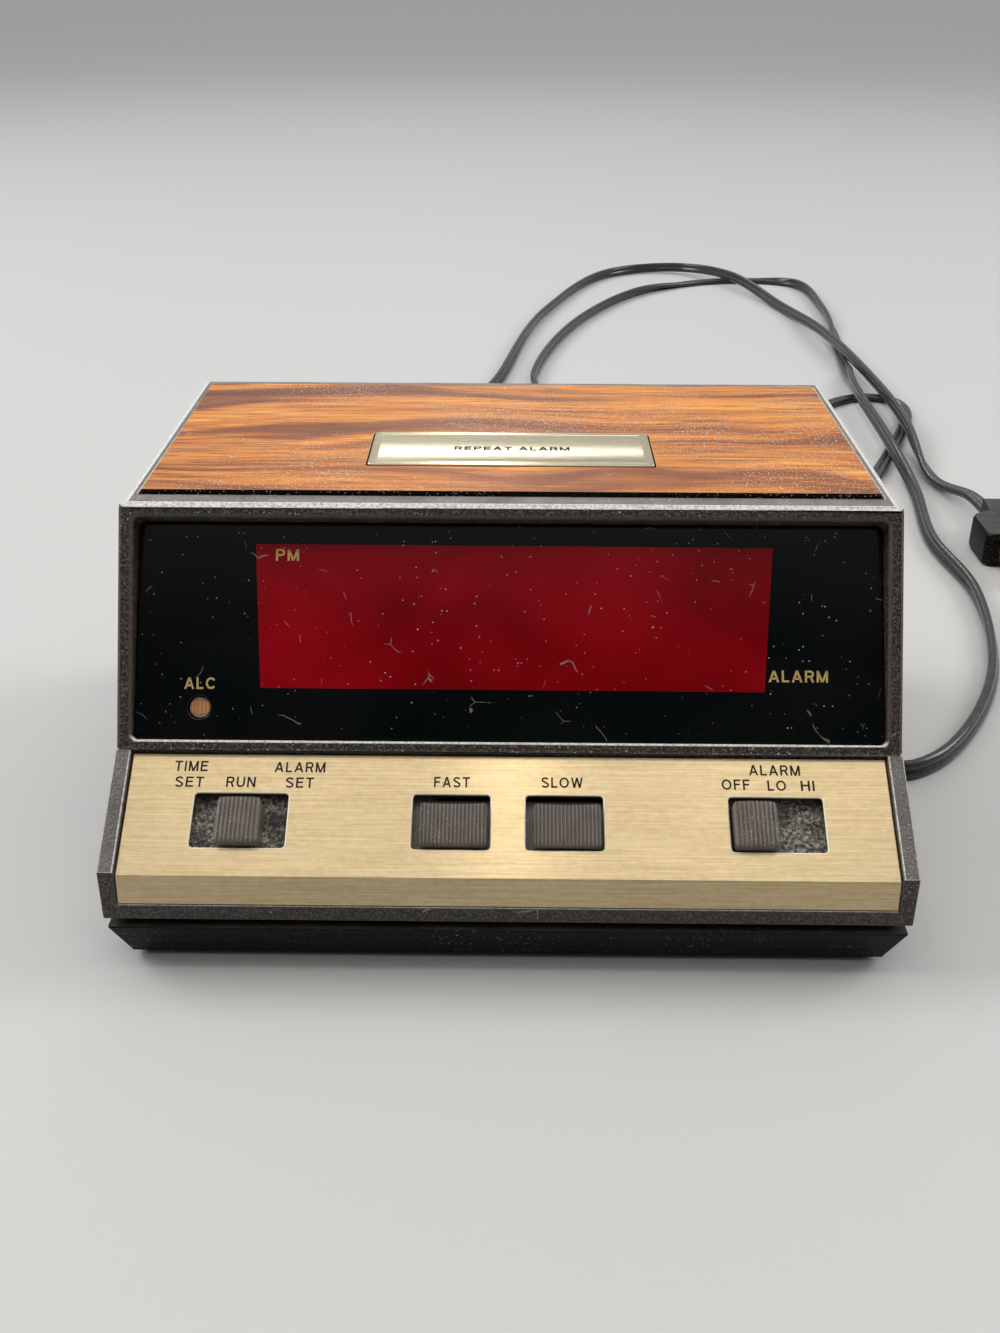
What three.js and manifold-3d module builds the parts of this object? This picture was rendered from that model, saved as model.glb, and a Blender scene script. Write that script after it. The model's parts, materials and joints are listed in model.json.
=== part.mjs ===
// Digital LED alarm clock, about 1975: a wedge-shaped moulded cabinet with a wood-grain top,
// a repeat-alarm bar, a recessed black lens and a bent metal control fascia.
// Millimetres. +X is the clock's right seen from the front, +Y points to its back, +Z up.
// The origin is on the table, under the centre of the clock.
import * as THREE from "three";
import { mergeVertices } from "three/addons/utils/BufferGeometryUtils.js";
import Module from "manifold-3d";

// ---- driving dimensions -------------------------------------------------------------------
const WIDTH = 165;
const DEPTH = 135;
const FRONT = -DEPTH / 2;
const BACK = DEPTH / 2;
const GAP = 0.3; // between pieces that touch on the real object
const WALL = 2.5; // moulded wall thickness

const FOOT_HEIGHT = 1.5;
const BASE_HEIGHT = 8.8;
const BASE_INSET = 3.4; // how far the tray narrows towards its bottom, each side
const BASE_TOP = FOOT_HEIGHT + BASE_HEIGHT;
const HOUSING_BOTTOM = 12.3; // leaves the dark groove above the tray
const HOUSING_TOP = 84.1;
const TOP_EDGE_RADIUS = 2.4;
const EDGE_CHAMFER = 0.7; // round the front of the bezel

// Side outline of the cabinet's front, as [y, z] points.
const LIP_FRONT = FRONT + 0.2;
const CHEEK_KNEE = [-66.9, 23.6];
const BEZEL_BOTTOM = [-43.9, 38.8];
const BEZEL_TOP = [-19.5, HOUSING_TOP];

// Outer face of the metal fascia: top edge, fold and lower edge, as [y, z] points.
const FASCIA_TOP = [-43.7, 37.3];
const FASCIA_FOLD = [-66.4, 22.7];
const FASCIA_BOTTOM = [-67.1, 16.1];
const FASCIA_THICKNESS = 0.6;
const FASCIA_HALF_WIDTH = 79;
const LIP_TOP = FASCIA_BOTTOM[1] - GAP;

// Control slots in the fascia: centre in X, centre and size along the sloping deck.
const SLOT_HEIGHT = 12;
const SLOT_CENTRE = 12.15;
const SLIDE_SLOT_WIDTH = 19.5;
const SLIDE_SLOT_X = 55.2;
const BUTTON_SLOT_WIDTH = 16;
const BUTTON_SLOT_X = 11.65;
const SLOT_CORNER = 0.8;

const KNOB_WIDTH = 8.9;
const KNOB_HEIGHT = 10;
const KNOB_PROUD = 2.2;
const KNOB_DROP = 0.6; // the caps sit this far below their slots' centres
const KNOB_RIBS = 10;
const KNOB_CROWN_RADIUS = 18; // across X
const SLIDE_STEP = 4.65; // between the three positions of a slide switch
const BUTTON_WIDTH = 13.6;
const BUTTON_HEIGHT = 9.2;
const BUTTON_PROUD = 1.6;
const BUTTON_PLAY = 0.5; // the loose caps sit this far right of their slots' centres
const BUTTON_DROP = 0.95; // and this far below them
const BUTTON_RIBS = 16;
const BUTTON_MARGIN = 0.5; // smooth side strips beside the ribs
const DISH_RADIUS = 40; // across X
const DISH_DEPTH = 0.58;

// Lens and its opening. The lens leans back a little more than the bezel around it.
const OPENING_WIDTH = 158.5;
const OPENING_HEIGHT = 46.6;
const OPENING_CORNER = 1.4;
const LENS_FOOT = 1.7; // from the bezel's lower edge to the lens, up the bezel
const LENS_FOOT_DEPTH = 1.4;
const LENS_HEAD_DEPTH = 5;
const LENS_THICKNESS = 3;
const LEDGE_WIDTH = 2;
const LEDGE_THICKNESS = 2;
const WINDOW_WIDTH = 108.4;
const WINDOW_HEIGHT = 30.7;
const WINDOW_X = 0.95;
const WINDOW_Y = 26.2; // centre, up the lens
const PHOTOCELL_X = -65.4;
const PHOTOCELL_Y = 6.9;
const PHOTOCELL_DIAMETER = 5;

// Top panel and repeat-alarm bar.
const PANEL_WIDTH = 157.7;
const PANEL_FRONT = -13.9;
const PANEL_BACK = 62.9;
const PANEL_TOP = 85.1;
const PANEL_THICKNESS = 1.6;
const BAR_WIDTH = 63.7;
const BAR_LENGTH = 21.6;
const BAR_Y = 12.6;
const BAR_CLEARANCE = 0.6;
const BAR_PLATE_THICKNESS = 0.5;
const BAR_TOP = 85.4;

// Cord and plug.
const CORD_DIAMETER = 5.5; // the width of the flat twin cord
const CORD_EXIT_X = 50;
const CORD_EXIT_Z = 23;
const STRAIN_RELIEF_LENGTH = 25;
const PLUG_X = 172;
const PLUG_REAR_Y = 172;
const PLUG_Z = 6.2;

// ---- tools --------------------------------------------------------------------------------
const wasm = await Module();
wasm.setup();

function toSolid(geometry) {
  const plain = geometry.clone();
  plain.deleteAttribute("normal");
  plain.deleteAttribute("uv");
  const merged = mergeVertices(plain, 1e-4);
  return new wasm.Manifold(
    new wasm.Mesh({
      numProp: 3,
      vertProperties: new Float32Array(merged.attributes.position.array),
      triVerts: new Uint32Array(merged.index.array),
    }),
  );
}

function toGeometry(solid) {
  const mesh = solid.getMesh();
  return new THREE.BufferGeometry()
    .setAttribute("position", new THREE.BufferAttribute(mesh.vertProperties, 3))
    .setIndex(new THREE.BufferAttribute(mesh.triVerts, 1));
}

// body with every tool cut away
function cut(body, ...tools) {
  let solid = toSolid(body);
  for (const tool of tools) solid = solid.subtract(toSolid(tool));
  return toGeometry(solid);
}

function join(body, ...others) {
  let solid = toSolid(body);
  for (const other of others) solid = solid.add(toSolid(other));
  return toGeometry(solid);
}

function common(body, other) {
  return toGeometry(toSolid(body).intersect(toSolid(other)));
}

function box(x0, x1, y0, y1, z0, z1) {
  return new THREE.BoxGeometry(x1 - x0, y1 - y0, z1 - z0)
    .translate((x0 + x1) / 2, (y0 + y1) / 2, (z0 + z1) / 2);
}

// box given by its centre in X and Y, its size, and its lower and upper Z
function block(x, y, width, height, z0, z1) {
  return box(x - width / 2, x + width / 2, y - height / 2, y + height / 2, z0, z1);
}

// cylinder standing along Z
function rod(x, y, diameter, z0, z1, sides = 20) {
  return new THREE.CylinderGeometry(diameter / 2, diameter / 2, z1 - z0, sides)
    .rotateX(Math.PI / 2)
    .translate(x, y, (z0 + z1) / 2);
}

function roundedShape(x, y, width, height, radius) {
  const shape = new THREE.Shape();
  const left = x - width / 2;
  const right = x + width / 2;
  const low = y - height / 2;
  const high = y + height / 2;
  shape.absarc(right - radius, low + radius, radius, -Math.PI / 2, 0);
  shape.absarc(right - radius, high - radius, radius, 0, Math.PI / 2);
  shape.absarc(left + radius, high - radius, radius, Math.PI / 2, Math.PI);
  shape.absarc(left + radius, low + radius, radius, Math.PI, Math.PI * 1.5);
  return shape;
}

// block with round corners, standing along Z
function roundedBlock(x, y, width, height, radius, z0, z1, segments = 3) {
  return new THREE.ExtrudeGeometry(roundedShape(x, y, width, height, radius), {
    depth: z1 - z0,
    bevelEnabled: false,
    curveSegments: segments,
  }).translate(0, 0, z0);
}

// side outline of [y, z] points, extruded across X
function acrossX(points, x0, x1) {
  const shape = new THREE.Shape(points.map(([y, z]) => new THREE.Vector2(y, z)));
  return new THREE.ExtrudeGeometry(shape, { depth: x1 - x0, bevelEnabled: false })
    .applyMatrix4(new THREE.Matrix4().set(0, 0, 1, x0, 1, 0, 0, 0, 0, 1, 0, 0, 0, 0, 0, 1));
}

// block whose lower face is smaller than its upper one by inset on every side
function taperedBlock(width, depth, inset, z0, z1) {
  const geometry = new THREE.BoxGeometry(width, depth, z1 - z0);
  const position = geometry.attributes.position;
  for (let i = 0; i < position.count; i++) {
    if (position.getZ(i) > 0) continue;
    position.setX(i, position.getX(i) - Math.sign(position.getX(i)) * inset);
    position.setY(i, position.getY(i) - Math.sign(position.getY(i)) * inset);
  }
  return geometry.translate(0, 0, (z0 + z1) / 2);
}

// the corners of a bent line of [y, z] points, moved sideways by distance (left of its run)
function offsetLine(points, distance) {
  const normals = points.slice(1).map(([y, z], i) => {
    const [fromY, fromZ] = points[i];
    const length = Math.hypot(y - fromY, z - fromZ);
    return [-(z - fromZ) / length, (y - fromY) / length];
  });
  return points.map(([y, z], i) => {
    const before = normals[Math.max(i - 1, 0)];
    const after = normals[Math.min(i, normals.length - 1)];
    const share = 1 + before[0] * after[0] + before[1] * after[1];
    return [
      y + (distance * (before[0] + after[0])) / share,
      z + (distance * (before[1] + after[1])) / share,
    ];
  });
}

// outline turned round the Z axis; points are [radius, z], listed upwards on the outside
function lathe(points, sides) {
  const profile = points.map(([radius, z]) => new THREE.Vector2(radius, z));
  return new THREE.LatheGeometry(profile, sides).rotateX(Math.PI / 2);
}

function material(color, roughness, metalness = 0) {
  return new THREE.MeshStandardMaterial({ color, roughness, metalness });
}

const BROWN_PLASTIC = material(0x2b2320, 0.6);
const KNOB_PLASTIC = material(0x332b28, 0.55);
const BLACK_PLASTIC = material(0x101010, 0.5);
const BLACK_RUBBER = material(0x161616, 0.8);
const WOOD_LAMINATE = material(0x8a4520, 0.45);
const GOLD_METAL = material(0xc8b07c, 0.35, 1);
const LENS_ACRYLIC = material(0x0a0d10, 0.08);
const CORD_VINYL = material(0x3a3d3c, 0.35);
const STEEL = material(0x9a9a9a, 0.35, 1);
const BRASS = material(0xb9a25e, 0.3, 1);
const COPPER = material(0xa6602e, 0.4, 1);
const BOARD = material(0x7a6a35, 0.6);
const DIGIT_PLASTIC = material(0x5c5450, 0.5);
const LED_RED = material(0x8c1515, 0.3);
const CERAMIC = material(0xd8cdb8, 0.6);
const PAPER = material(0x3b3633, 0.9);
const SLEEVE_BLUE = material(0x24466e, 0.4);

const clock = new THREE.Group();

function add(parent, name, geometry, look) {
  const mesh = new THREE.Mesh(geometry, look);
  mesh.name = name;
  parent.add(mesh);
  return mesh;
}

// ---- the two sloping frames ---------------------------------------------------------------
// Deck frame: X across, Y up the slope from the fascia's fold, Z out of the fascia.
const deck = new THREE.Group();
deck.position.set(0, FASCIA_FOLD[0], FASCIA_FOLD[1]);
deck.rotation.x = Math.atan2(FASCIA_TOP[1] - FASCIA_FOLD[1], FASCIA_TOP[0] - FASCIA_FOLD[0]);
deck.updateMatrix();
clock.add(deck);

function bezelPoint(up, out) {
  const angle = Math.atan2(BEZEL_TOP[1] - BEZEL_BOTTOM[1], BEZEL_TOP[0] - BEZEL_BOTTOM[0]);
  return [
    BEZEL_BOTTOM[0] + up * Math.cos(angle) - out * Math.sin(angle),
    BEZEL_BOTTOM[1] + up * Math.sin(angle) + out * Math.cos(angle),
  ];
}

// Lens frame: X across, Y up the lens from its lower edge, Z out of its front face.
const lensFoot = bezelPoint(LENS_FOOT, -LENS_FOOT_DEPTH);
const lensHead = bezelPoint(LENS_FOOT + OPENING_HEIGHT, -LENS_HEAD_DEPTH);
const lens = new THREE.Group();
lens.position.set(0, lensFoot[0], lensFoot[1]);
lens.rotation.x = Math.atan2(lensHead[1] - lensFoot[1], lensHead[0] - lensFoot[0]);
lens.updateMatrix();
clock.add(lens);

const fasciaLine = [FASCIA_TOP, FASCIA_FOLD, FASCIA_BOTTOM];
const DECK_TOP = -FASCIA_THICKNESS - GAP; // outer face of the moulded deck, in the deck frame
const DECK_UNDER = DECK_TOP - 2;
const SLOT_MARGIN = 0.5; // the moulded slots are this much larger than the metal ones
const LENS_BACK = -LENS_THICKNESS;
const LEDGE_FRONT = LENS_BACK - GAP;
const LEDGE_BACK = LEDGE_FRONT - LEDGE_THICKNESS;

const slots = [
  { x: -SLIDE_SLOT_X, width: SLIDE_SLOT_WIDTH },
  { x: -BUTTON_SLOT_X, width: BUTTON_SLOT_WIDTH },
  { x: BUTTON_SLOT_X, width: BUTTON_SLOT_WIDTH },
  { x: SLIDE_SLOT_X, width: SLIDE_SLOT_WIDTH },
];

const screwPosts = [
  [-75.2, -36],
  [75.2, -36],
  [-75.2, 56],
  [75.2, 56],
];

// ---- cabinet ------------------------------------------------------------------------------
const CEILING = 80.4; // inner face of the cabinet's top
const INNER_HALF_WIDTH = WIDTH / 2 - WALL;
const POST_TOP = 30;
const POST_DIAMETER = 10.4;

// rounds the two long top edges of the cabinet
function topEdgeForm() {
  const halfWidth = WIDTH / 2;
  const corner = halfWidth - TOP_EDGE_RADIUS;
  const shape = new THREE.Shape();
  shape.moveTo(-halfWidth, 0);
  shape.lineTo(halfWidth, 0);
  shape.absarc(corner, HOUSING_TOP - TOP_EDGE_RADIUS, TOP_EDGE_RADIUS, 0, Math.PI / 2);
  shape.absarc(-corner, HOUSING_TOP - TOP_EDGE_RADIUS, TOP_EDGE_RADIUS, Math.PI / 2, Math.PI);
  return new THREE.ExtrudeGeometry(shape, {
    depth: DEPTH + 2,
    bevelEnabled: false,
    curveSegments: 5,
  })
    .rotateX(Math.PI / 2)
    .translate(0, BACK + 1, 0);
}

function cabinetBody() {
  const outline = [
    [LIP_FRONT, HOUSING_BOTTOM],
    [BACK, HOUSING_BOTTOM],
    [BACK, HOUSING_TOP],
    [BEZEL_TOP[0] + EDGE_CHAMFER, HOUSING_TOP],
    bezelPoint(bezelLength() - EDGE_CHAMFER, 0),
    bezelPoint(EDGE_CHAMFER / 2, 0),
    [BEZEL_BOTTOM[0] - EDGE_CHAMFER / 3, BEZEL_BOTTOM[1] - EDGE_CHAMFER / 3],
    CHEEK_KNEE,
  ];
  return common(acrossX(outline, -WIDTH / 2, WIDTH / 2), topEdgeForm());
}

function bezelLength() {
  return Math.hypot(BEZEL_TOP[0] - BEZEL_BOTTOM[0], BEZEL_TOP[1] - BEZEL_BOTTOM[1]);
}

// the step between the cheeks that the fascia lies in
function fasciaBed() {
  const bed = offsetLine(fasciaLine, FASCIA_THICKNESS + GAP);
  const halfWidth = FASCIA_HALF_WIDTH + GAP / 2;
  const outline = [
    deckToClock(fasciaLength() + GAP, DECK_TOP),
    deckToClock(fasciaLength() + GAP, 8),
    [FRONT - 6, 30],
    [FRONT - 6, LIP_TOP],
    [bed[2][0], LIP_TOP],
    bed[1],
  ];
  return acrossX(outline, -halfWidth, halfWidth);
}

function fasciaLength() {
  return Math.hypot(FASCIA_TOP[0] - FASCIA_FOLD[0], FASCIA_TOP[1] - FASCIA_FOLD[1]);
}

function deckToClock(up, out) {
  const point = new THREE.Vector3(0, up, out).applyMatrix4(deck.matrix);
  return [point.y, point.z];
}

function lensToClock(up, out) {
  const point = new THREE.Vector3(0, up, out).applyMatrix4(lens.matrix);
  return [point.y, point.z];
}

function cabinetHollow() {
  const outline = [
    [LIP_FRONT + 3, HOUSING_BOTTOM - 1],
    [LIP_FRONT + 3, 19],
    deckToClock(2, DECK_UNDER),
    deckToClock(fasciaLength() - 1, DECK_UNDER),
    lensToClock(-1, LEDGE_BACK),
    lensToClock(OPENING_HEIGHT - 3, LEDGE_BACK),
    [lensToClock(OPENING_HEIGHT, LEDGE_BACK)[0], CEILING],
    [BACK - WALL, CEILING],
    [BACK - WALL, HOUSING_BOTTOM - 1],
  ];
  return acrossX(outline, -INNER_HALF_WIDTH, INNER_HALF_WIDTH);
}

function lensOpening() {
  return roundedBlock(0, OPENING_HEIGHT / 2, OPENING_WIDTH, OPENING_HEIGHT, OPENING_CORNER, LEDGE_FRONT, 9);
}

function ledgeOpening() {
  const width = OPENING_WIDTH - 2 * LEDGE_WIDTH;
  const height = OPENING_HEIGHT - 2 * LEDGE_WIDTH;
  return roundedBlock(0, OPENING_HEIGHT / 2, width, height, OPENING_CORNER, -14, 0);
}

function panelPocket() {
  const margin = GAP + 0.2;
  return box(
    -PANEL_WIDTH / 2 - margin,
    PANEL_WIDTH / 2 + margin,
    PANEL_FRONT - margin,
    PANEL_BACK + margin,
    PANEL_TOP - PANEL_THICKNESS - GAP,
    HOUSING_TOP + 5,
  );
}

// the chamfers along the two upright edges of the bezel
function bezelEdgeTools() {
  const reach = bezelLength() + 20;
  return [-1, 1].map((side) => {
    const tool = new THREE.BoxGeometry(EDGE_CHAMFER * Math.SQRT2, reach, EDGE_CHAMFER * Math.SQRT2)
      .rotateY(Math.PI / 4)
      .translate((side * WIDTH) / 2, bezelLength() / 2, 0);
    const frame = new THREE.Matrix4().makeRotationX(
      Math.atan2(BEZEL_TOP[1] - BEZEL_BOTTOM[1], BEZEL_TOP[0] - BEZEL_BOTTOM[0]),
    );
    frame.setPosition(0, BEZEL_BOTTOM[0], BEZEL_BOTTOM[1]);
    return common(tool.applyMatrix4(frame), aboveCheeks());
  });
}

function aboveCheeks() {
  return box(-WIDTH, WIDTH, FRONT - 10, BACK, BEZEL_BOTTOM[1] - 0.3, HOUSING_TOP + 10);
}

const VENT_COUNT = 9;
const VENT_PITCH = 5;
const VENT_X = -52;

function backVents() {
  return Array.from({ length: VENT_COUNT }, (_, i) =>
    box(
      VENT_X + i * VENT_PITCH - 1,
      VENT_X + i * VENT_PITCH + 1,
      BACK - WALL - 1,
      BACK + 1,
      46,
      66,
    ),
  );
}

function cordHole() {
  return rod(0, 0, 10.6, -WALL - 1, WALL + 1, 24)
    .rotateX(-Math.PI / 2)
    .translate(CORD_EXIT_X, BACK, CORD_EXIT_Z);
}

function upperHousing() {
  const barHole = block(0, BAR_Y, BAR_WIDTH + 2 * BAR_CLEARANCE, BAR_LENGTH + 2 * BAR_CLEARANCE, 70, 90);
  const deckSlots = slots.map((slot) =>
    roundedBlock(
      slot.x,
      SLOT_CENTRE,
      slot.width + 2 * SLOT_MARGIN,
      SLOT_HEIGHT + 2 * SLOT_MARGIN,
      SLOT_CORNER,
      DECK_UNDER - 1,
      4,
    ).applyMatrix4(deck.matrix),
  );
  const shell = cut(
    cabinetBody(),
    cabinetHollow(),
    fasciaBed(),
    lensOpening().applyMatrix4(lens.matrix),
    ledgeOpening().applyMatrix4(lens.matrix),
    panelPocket(),
    barHole,
    ...bezelEdgeTools(),
    ...deckSlots,
    ...backVents(),
    cordHole(),
  );
  const posts = screwPosts.map(([x, y]) => rod(x, y, POST_DIAMETER, HOUSING_BOTTOM + 3, POST_TOP));
  const pilots = screwPosts.map(([x, y]) => rod(x, y, 3.6, HOUSING_BOTTOM, POST_TOP - 3, 16));
  add(clock, "upper_housing", cut(join(shell, ...posts), ...pilots), BROWN_PLASTIC);
}

// ---- base ---------------------------------------------------------------------------------
const BASE_FLOOR = 2.2;
const RIM_HEIGHT = 4.4; // upstand that registers inside the cabinet
const footSpots = [
  [-62, -50],
  [62, -50],
  [-62, 50],
  [62, 50],
];
const SPEAKER_X = -46;
const SPEAKER_Y = 16;

function basePlate() {
  const tray = taperedBlock(WIDTH - 1, DEPTH, BASE_INSET, FOOT_HEIGHT, BASE_TOP);
  const rimHalfX = INNER_HALF_WIDTH - 0.4;
  const rimFront = LIP_FRONT + 3.4;
  const rimBack = BACK - WALL - 0.4;
  const rim = box(-rimHalfX, rimHalfX, rimFront, rimBack, BASE_TOP - 3, BASE_TOP + RIM_HEIGHT);
  const hollow = box(
    -rimHalfX + 2,
    rimHalfX - 2,
    rimFront + 2,
    rimBack - 2,
    FOOT_HEIGHT + BASE_FLOOR,
    BASE_TOP + RIM_HEIGHT + 1,
  );
  const bosses = screwPosts.map(([x, y]) => rod(x, y, 8.4, FOOT_HEIGHT + 0.5, BASE_TOP + RIM_HEIGHT + 0.2));
  const holes = screwPosts.map(([x, y]) => rod(x, y, 3.8, 0, 20, 16));
  const sinks = screwPosts.map(([x, y]) => rod(x, y, 7, 0, FOOT_HEIGHT + 2.4));
  const footSeats = footSpots.map(([x, y]) => rod(x, y, 10.6, 0, FOOT_HEIGHT + 1));
  const shell = join(cut(join(tray, rim), hollow), ...bosses);
  add(clock, "base_plate", cut(shell, ...holes, ...sinks, ...footSeats, ...grille()), BLACK_PLASTIC);
}

// rows of sound slots under the speaker
function grille() {
  const rows = [-3, -2, -1, 0, 1, 2, 3];
  return rows.map((row) => {
    const length = 40 - 5 * Math.abs(row);
    return block(SPEAKER_X, SPEAKER_Y + row * 5.5, length, 2.4, 0, FOOT_HEIGHT + BASE_FLOOR + 1);
  });
}

function feet() {
  footSpots.forEach(([x, y], i) => {
    const profile = [
      [0, 0],
      [4.4, 0],
      [5, 0.6],
      [5, FOOT_HEIGHT + 1 - GAP],
      [0, FOOT_HEIGHT + 1 - GAP],
    ];
    add(clock, `foot_${i + 1}`, lathe(profile, 20).translate(x, y, 0), BLACK_RUBBER);
  });
}

function baseScrews() {
  screwPosts.forEach(([x, y], i) => {
    const head = FOOT_HEIGHT + 2.4 - GAP;
    const profile = [
      [0, head - 1.8],
      [2.6, head - 1.8],
      [3, head - 1.2],
      [3, head],
      [1.4, head],
      [1.4, POST_TOP - 6],
      [0.6, POST_TOP - 4],
      [0, POST_TOP - 4],
    ];
    const slot = block(0, 0, 7, 0.8, head - 3, head - 1);
    add(clock, `base_screw_${i + 1}`, cut(lathe(profile, 16), slot).translate(x, y, 0), STEEL);
  });
}

// ---- top panel and repeat bar -------------------------------------------------------------
const BAR_BODY_TOP = BAR_TOP - BAR_PLATE_THICKNESS - GAP;
const BAR_FLANGE_TOP = CEILING - GAP;
const BAR_FLANGE_UNDER = BAR_FLANGE_TOP - 1.6;
const BAR_TRAVEL = 1.5;
const BRACKET_TOP = 61;
const BRACKET_DEPTH = 17;
const BRACKET_X = 6; // centre of the main board, on which the bracket stands
const REPEAT_SWITCH_TOP = 66;
const PLUNGER_REACH = 1; // how far a pressed plunger still stands out of its switch

function woodTopPanel() {
  const panel = box(
    -PANEL_WIDTH / 2,
    PANEL_WIDTH / 2,
    PANEL_FRONT,
    PANEL_BACK,
    PANEL_TOP - PANEL_THICKNESS,
    PANEL_TOP,
  );
  const hole = roundedBlock(
    0,
    BAR_Y,
    BAR_WIDTH + 2 * BAR_CLEARANCE,
    BAR_LENGTH + 2 * BAR_CLEARANCE,
    1,
    PANEL_TOP - 5,
    PANEL_TOP + 5,
  );
  add(clock, "wood_top_panel", cut(panel, hole), WOOD_LAMINATE);
}

function repeatBar() {
  const cap = roundedBlock(0, BAR_Y, BAR_WIDTH, BAR_LENGTH, 0.8, BAR_FLANGE_UNDER, BAR_BODY_TOP);
  const flange = block(0, BAR_Y, BAR_WIDTH + 5, BAR_LENGTH + 5, BAR_FLANGE_UNDER, BAR_FLANGE_TOP);
  const stemEnd = REPEAT_SWITCH_TOP + PLUNGER_REACH + BAR_TRAVEL;
  const stem = rod(0, BAR_Y, 6, stemEnd, BAR_FLANGE_UNDER + 1);
  add(clock, "repeat_bar", join(cap, flange, stem), BLACK_PLASTIC);
  const plate = roundedBlock(0, BAR_Y, BAR_WIDTH, BAR_LENGTH, 0.8, BAR_TOP - BAR_PLATE_THICKNESS, BAR_TOP);
  add(clock, "repeat_bar_plate", plate, GOLD_METAL);
}

// eight-sided tube of round section along a path
function tube(path, diameter, steps) {
  const section = new THREE.Shape();
  section.absarc(0, 0, diameter / 2, 0, 2 * Math.PI);
  return new THREE.ExtrudeGeometry(section, {
    steps,
    extrudePath: path,
    curveSegments: 4,
    bevelEnabled: false,
  });
}

const SPRING_TURNS = 5;
const SPRING_RADIUS = 7.2;
const SPRING_WIRE = 0.9;
const SPRING_LOW = BRACKET_TOP + SPRING_WIRE / 2 + GAP;

// coil spring that stands on the bracket, round the switch and the bar's stem
function repeatSpring() {
  const stepsPerTurn = 12;
  const steps = SPRING_TURNS * stepsPerTurn;
  const rise = BAR_FLANGE_UNDER - SPRING_WIRE / 2 - GAP - SPRING_LOW;
  const points = Array.from({ length: steps + 1 }, (_, i) => {
    const angle = (i / stepsPerTurn) * 2 * Math.PI;
    const x = SPRING_RADIUS * Math.cos(angle);
    const y = BAR_Y + SPRING_RADIUS * Math.sin(angle);
    return new THREE.Vector3(x, y, SPRING_LOW + (rise * i) / steps);
  });
  const coil = tube(new THREE.CatmullRomCurve3(points), SPRING_WIRE, steps);
  add(clock, "repeat_spring", coil, STEEL);
}

// bridge that carries the repeat switch over the main board
function repeatBracket() {
  const halfSpan = 22;
  const low = MAIN_BOARD_TOP + GAP;
  const legs = [-1, 1].map((side) =>
    block(BRACKET_X + side * halfSpan, BAR_Y, 3, BRACKET_DEPTH, low, BRACKET_TOP),
  );
  const bridge = block(BRACKET_X, BAR_Y, 2 * halfSpan + 3, BRACKET_DEPTH, BRACKET_TOP - 2, BRACKET_TOP);
  add(clock, "repeat_bracket", join(bridge, ...legs), BLACK_PLASTIC);
}

// ---- push switches ------------------------------------------------------------------------
// A small square switch with its plunger. The body stands on z = low and faces +Z.
function pushSwitch(parent, prefix, x, y, low, high, travel) {
  const bore = rod(x, y, 4.1, low + 1, high + 1, 16);
  const body = cut(block(x, y, 9, 8, low, high), bore);
  add(parent, `${prefix}_switch`, body, BLACK_PLASTIC);
  const tip = high + PLUNGER_REACH + travel - GAP;
  const plunger = rod(x, y, 3.5, low + 1 + GAP + travel, tip, 16);
  add(parent, `${prefix}_plunger`, plunger, CERAMIC);
}

// ---- lens and display ---------------------------------------------------------------------
const SHIELD_FRONT = LEDGE_BACK - GAP;
const DISPLAY_BOARD_FRONT = -14;
const DISPLAY_BOARD_THICKNESS = 1.6;

function displayLens() {
  const plate = roundedBlock(
    0,
    OPENING_HEIGHT / 2,
    OPENING_WIDTH - 2 * GAP,
    OPENING_HEIGHT - 2 * GAP,
    OPENING_CORNER,
    -LENS_THICKNESS,
    0,
  );
  const hole = rod(PHOTOCELL_X, PHOTOCELL_Y, PHOTOCELL_DIAMETER, -LENS_THICKNESS - 1, 1, 28);
  add(lens, "display_lens", cut(plate, hole), LENS_ACRYLIC);
}

function lightShield() {
  const width = WINDOW_WIDTH + 8;
  const height = WINDOW_HEIGHT + 7;
  const frame = block(WINDOW_X, WINDOW_Y, width, height, DISPLAY_BOARD_FRONT + GAP, SHIELD_FRONT);
  const window = block(WINDOW_X, WINDOW_Y, WINDOW_WIDTH, WINDOW_HEIGHT, -30, 0);
  add(lens, "light_shield", cut(frame, window), BLACK_PLASTIC);
}

function displayBoard() {
  const board = block(
    0,
    OPENING_HEIGHT / 2 - 1,
    150,
    OPENING_HEIGHT - 5,
    DISPLAY_BOARD_FRONT - DISPLAY_BOARD_THICKNESS,
    DISPLAY_BOARD_FRONT,
  );
  add(lens, "display_board", board, BOARD);
}

const DIGIT_PITCH = 21;
const DIGIT_ROW_X = WINDOW_X + 4;
const COLON_ROOM = 2.5;
const DIGIT_FRONT = -7.4;

function digits() {
  [-1.5, -0.5, 0.5, 1.5].forEach((place, i) => {
    const x = DIGIT_ROW_X + place * DIGIT_PITCH + Math.sign(place) * COLON_ROOM;
    const body = block(x, WINDOW_Y, 20, 27, DISPLAY_BOARD_FRONT + GAP, DIGIT_FRONT);
    add(lens, `digit_${i + 1}`, body, DIGIT_PLASTIC);
  });
  const colon = block(DIGIT_ROW_X, WINDOW_Y, 4, 16, DISPLAY_BOARD_FRONT + GAP, DIGIT_FRONT);
  add(lens, "colon_led", colon, LED_RED);
}

// a round lamp that stands on the display board
function indicatorLamp(name, x, y) {
  const base = DISPLAY_BOARD_FRONT + GAP;
  const profile = [
    [0, base],
    [1.9, base],
    [1.9, base + 1],
    [1.5, base + 1],
    [1.5, base + 4],
    [1.1, base + 5],
    [0, base + 5.4],
  ];
  add(lens, name, lathe(profile, 16).translate(x, y, 0), LED_RED);
}

function photocell() {
  const face = LEDGE_BACK + 1.6;
  const can = rod(PHOTOCELL_X, PHOTOCELL_Y, 6.4, DISPLAY_BOARD_FRONT + GAP, face, 28);
  add(lens, "photocell", can, CERAMIC);
}

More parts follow.
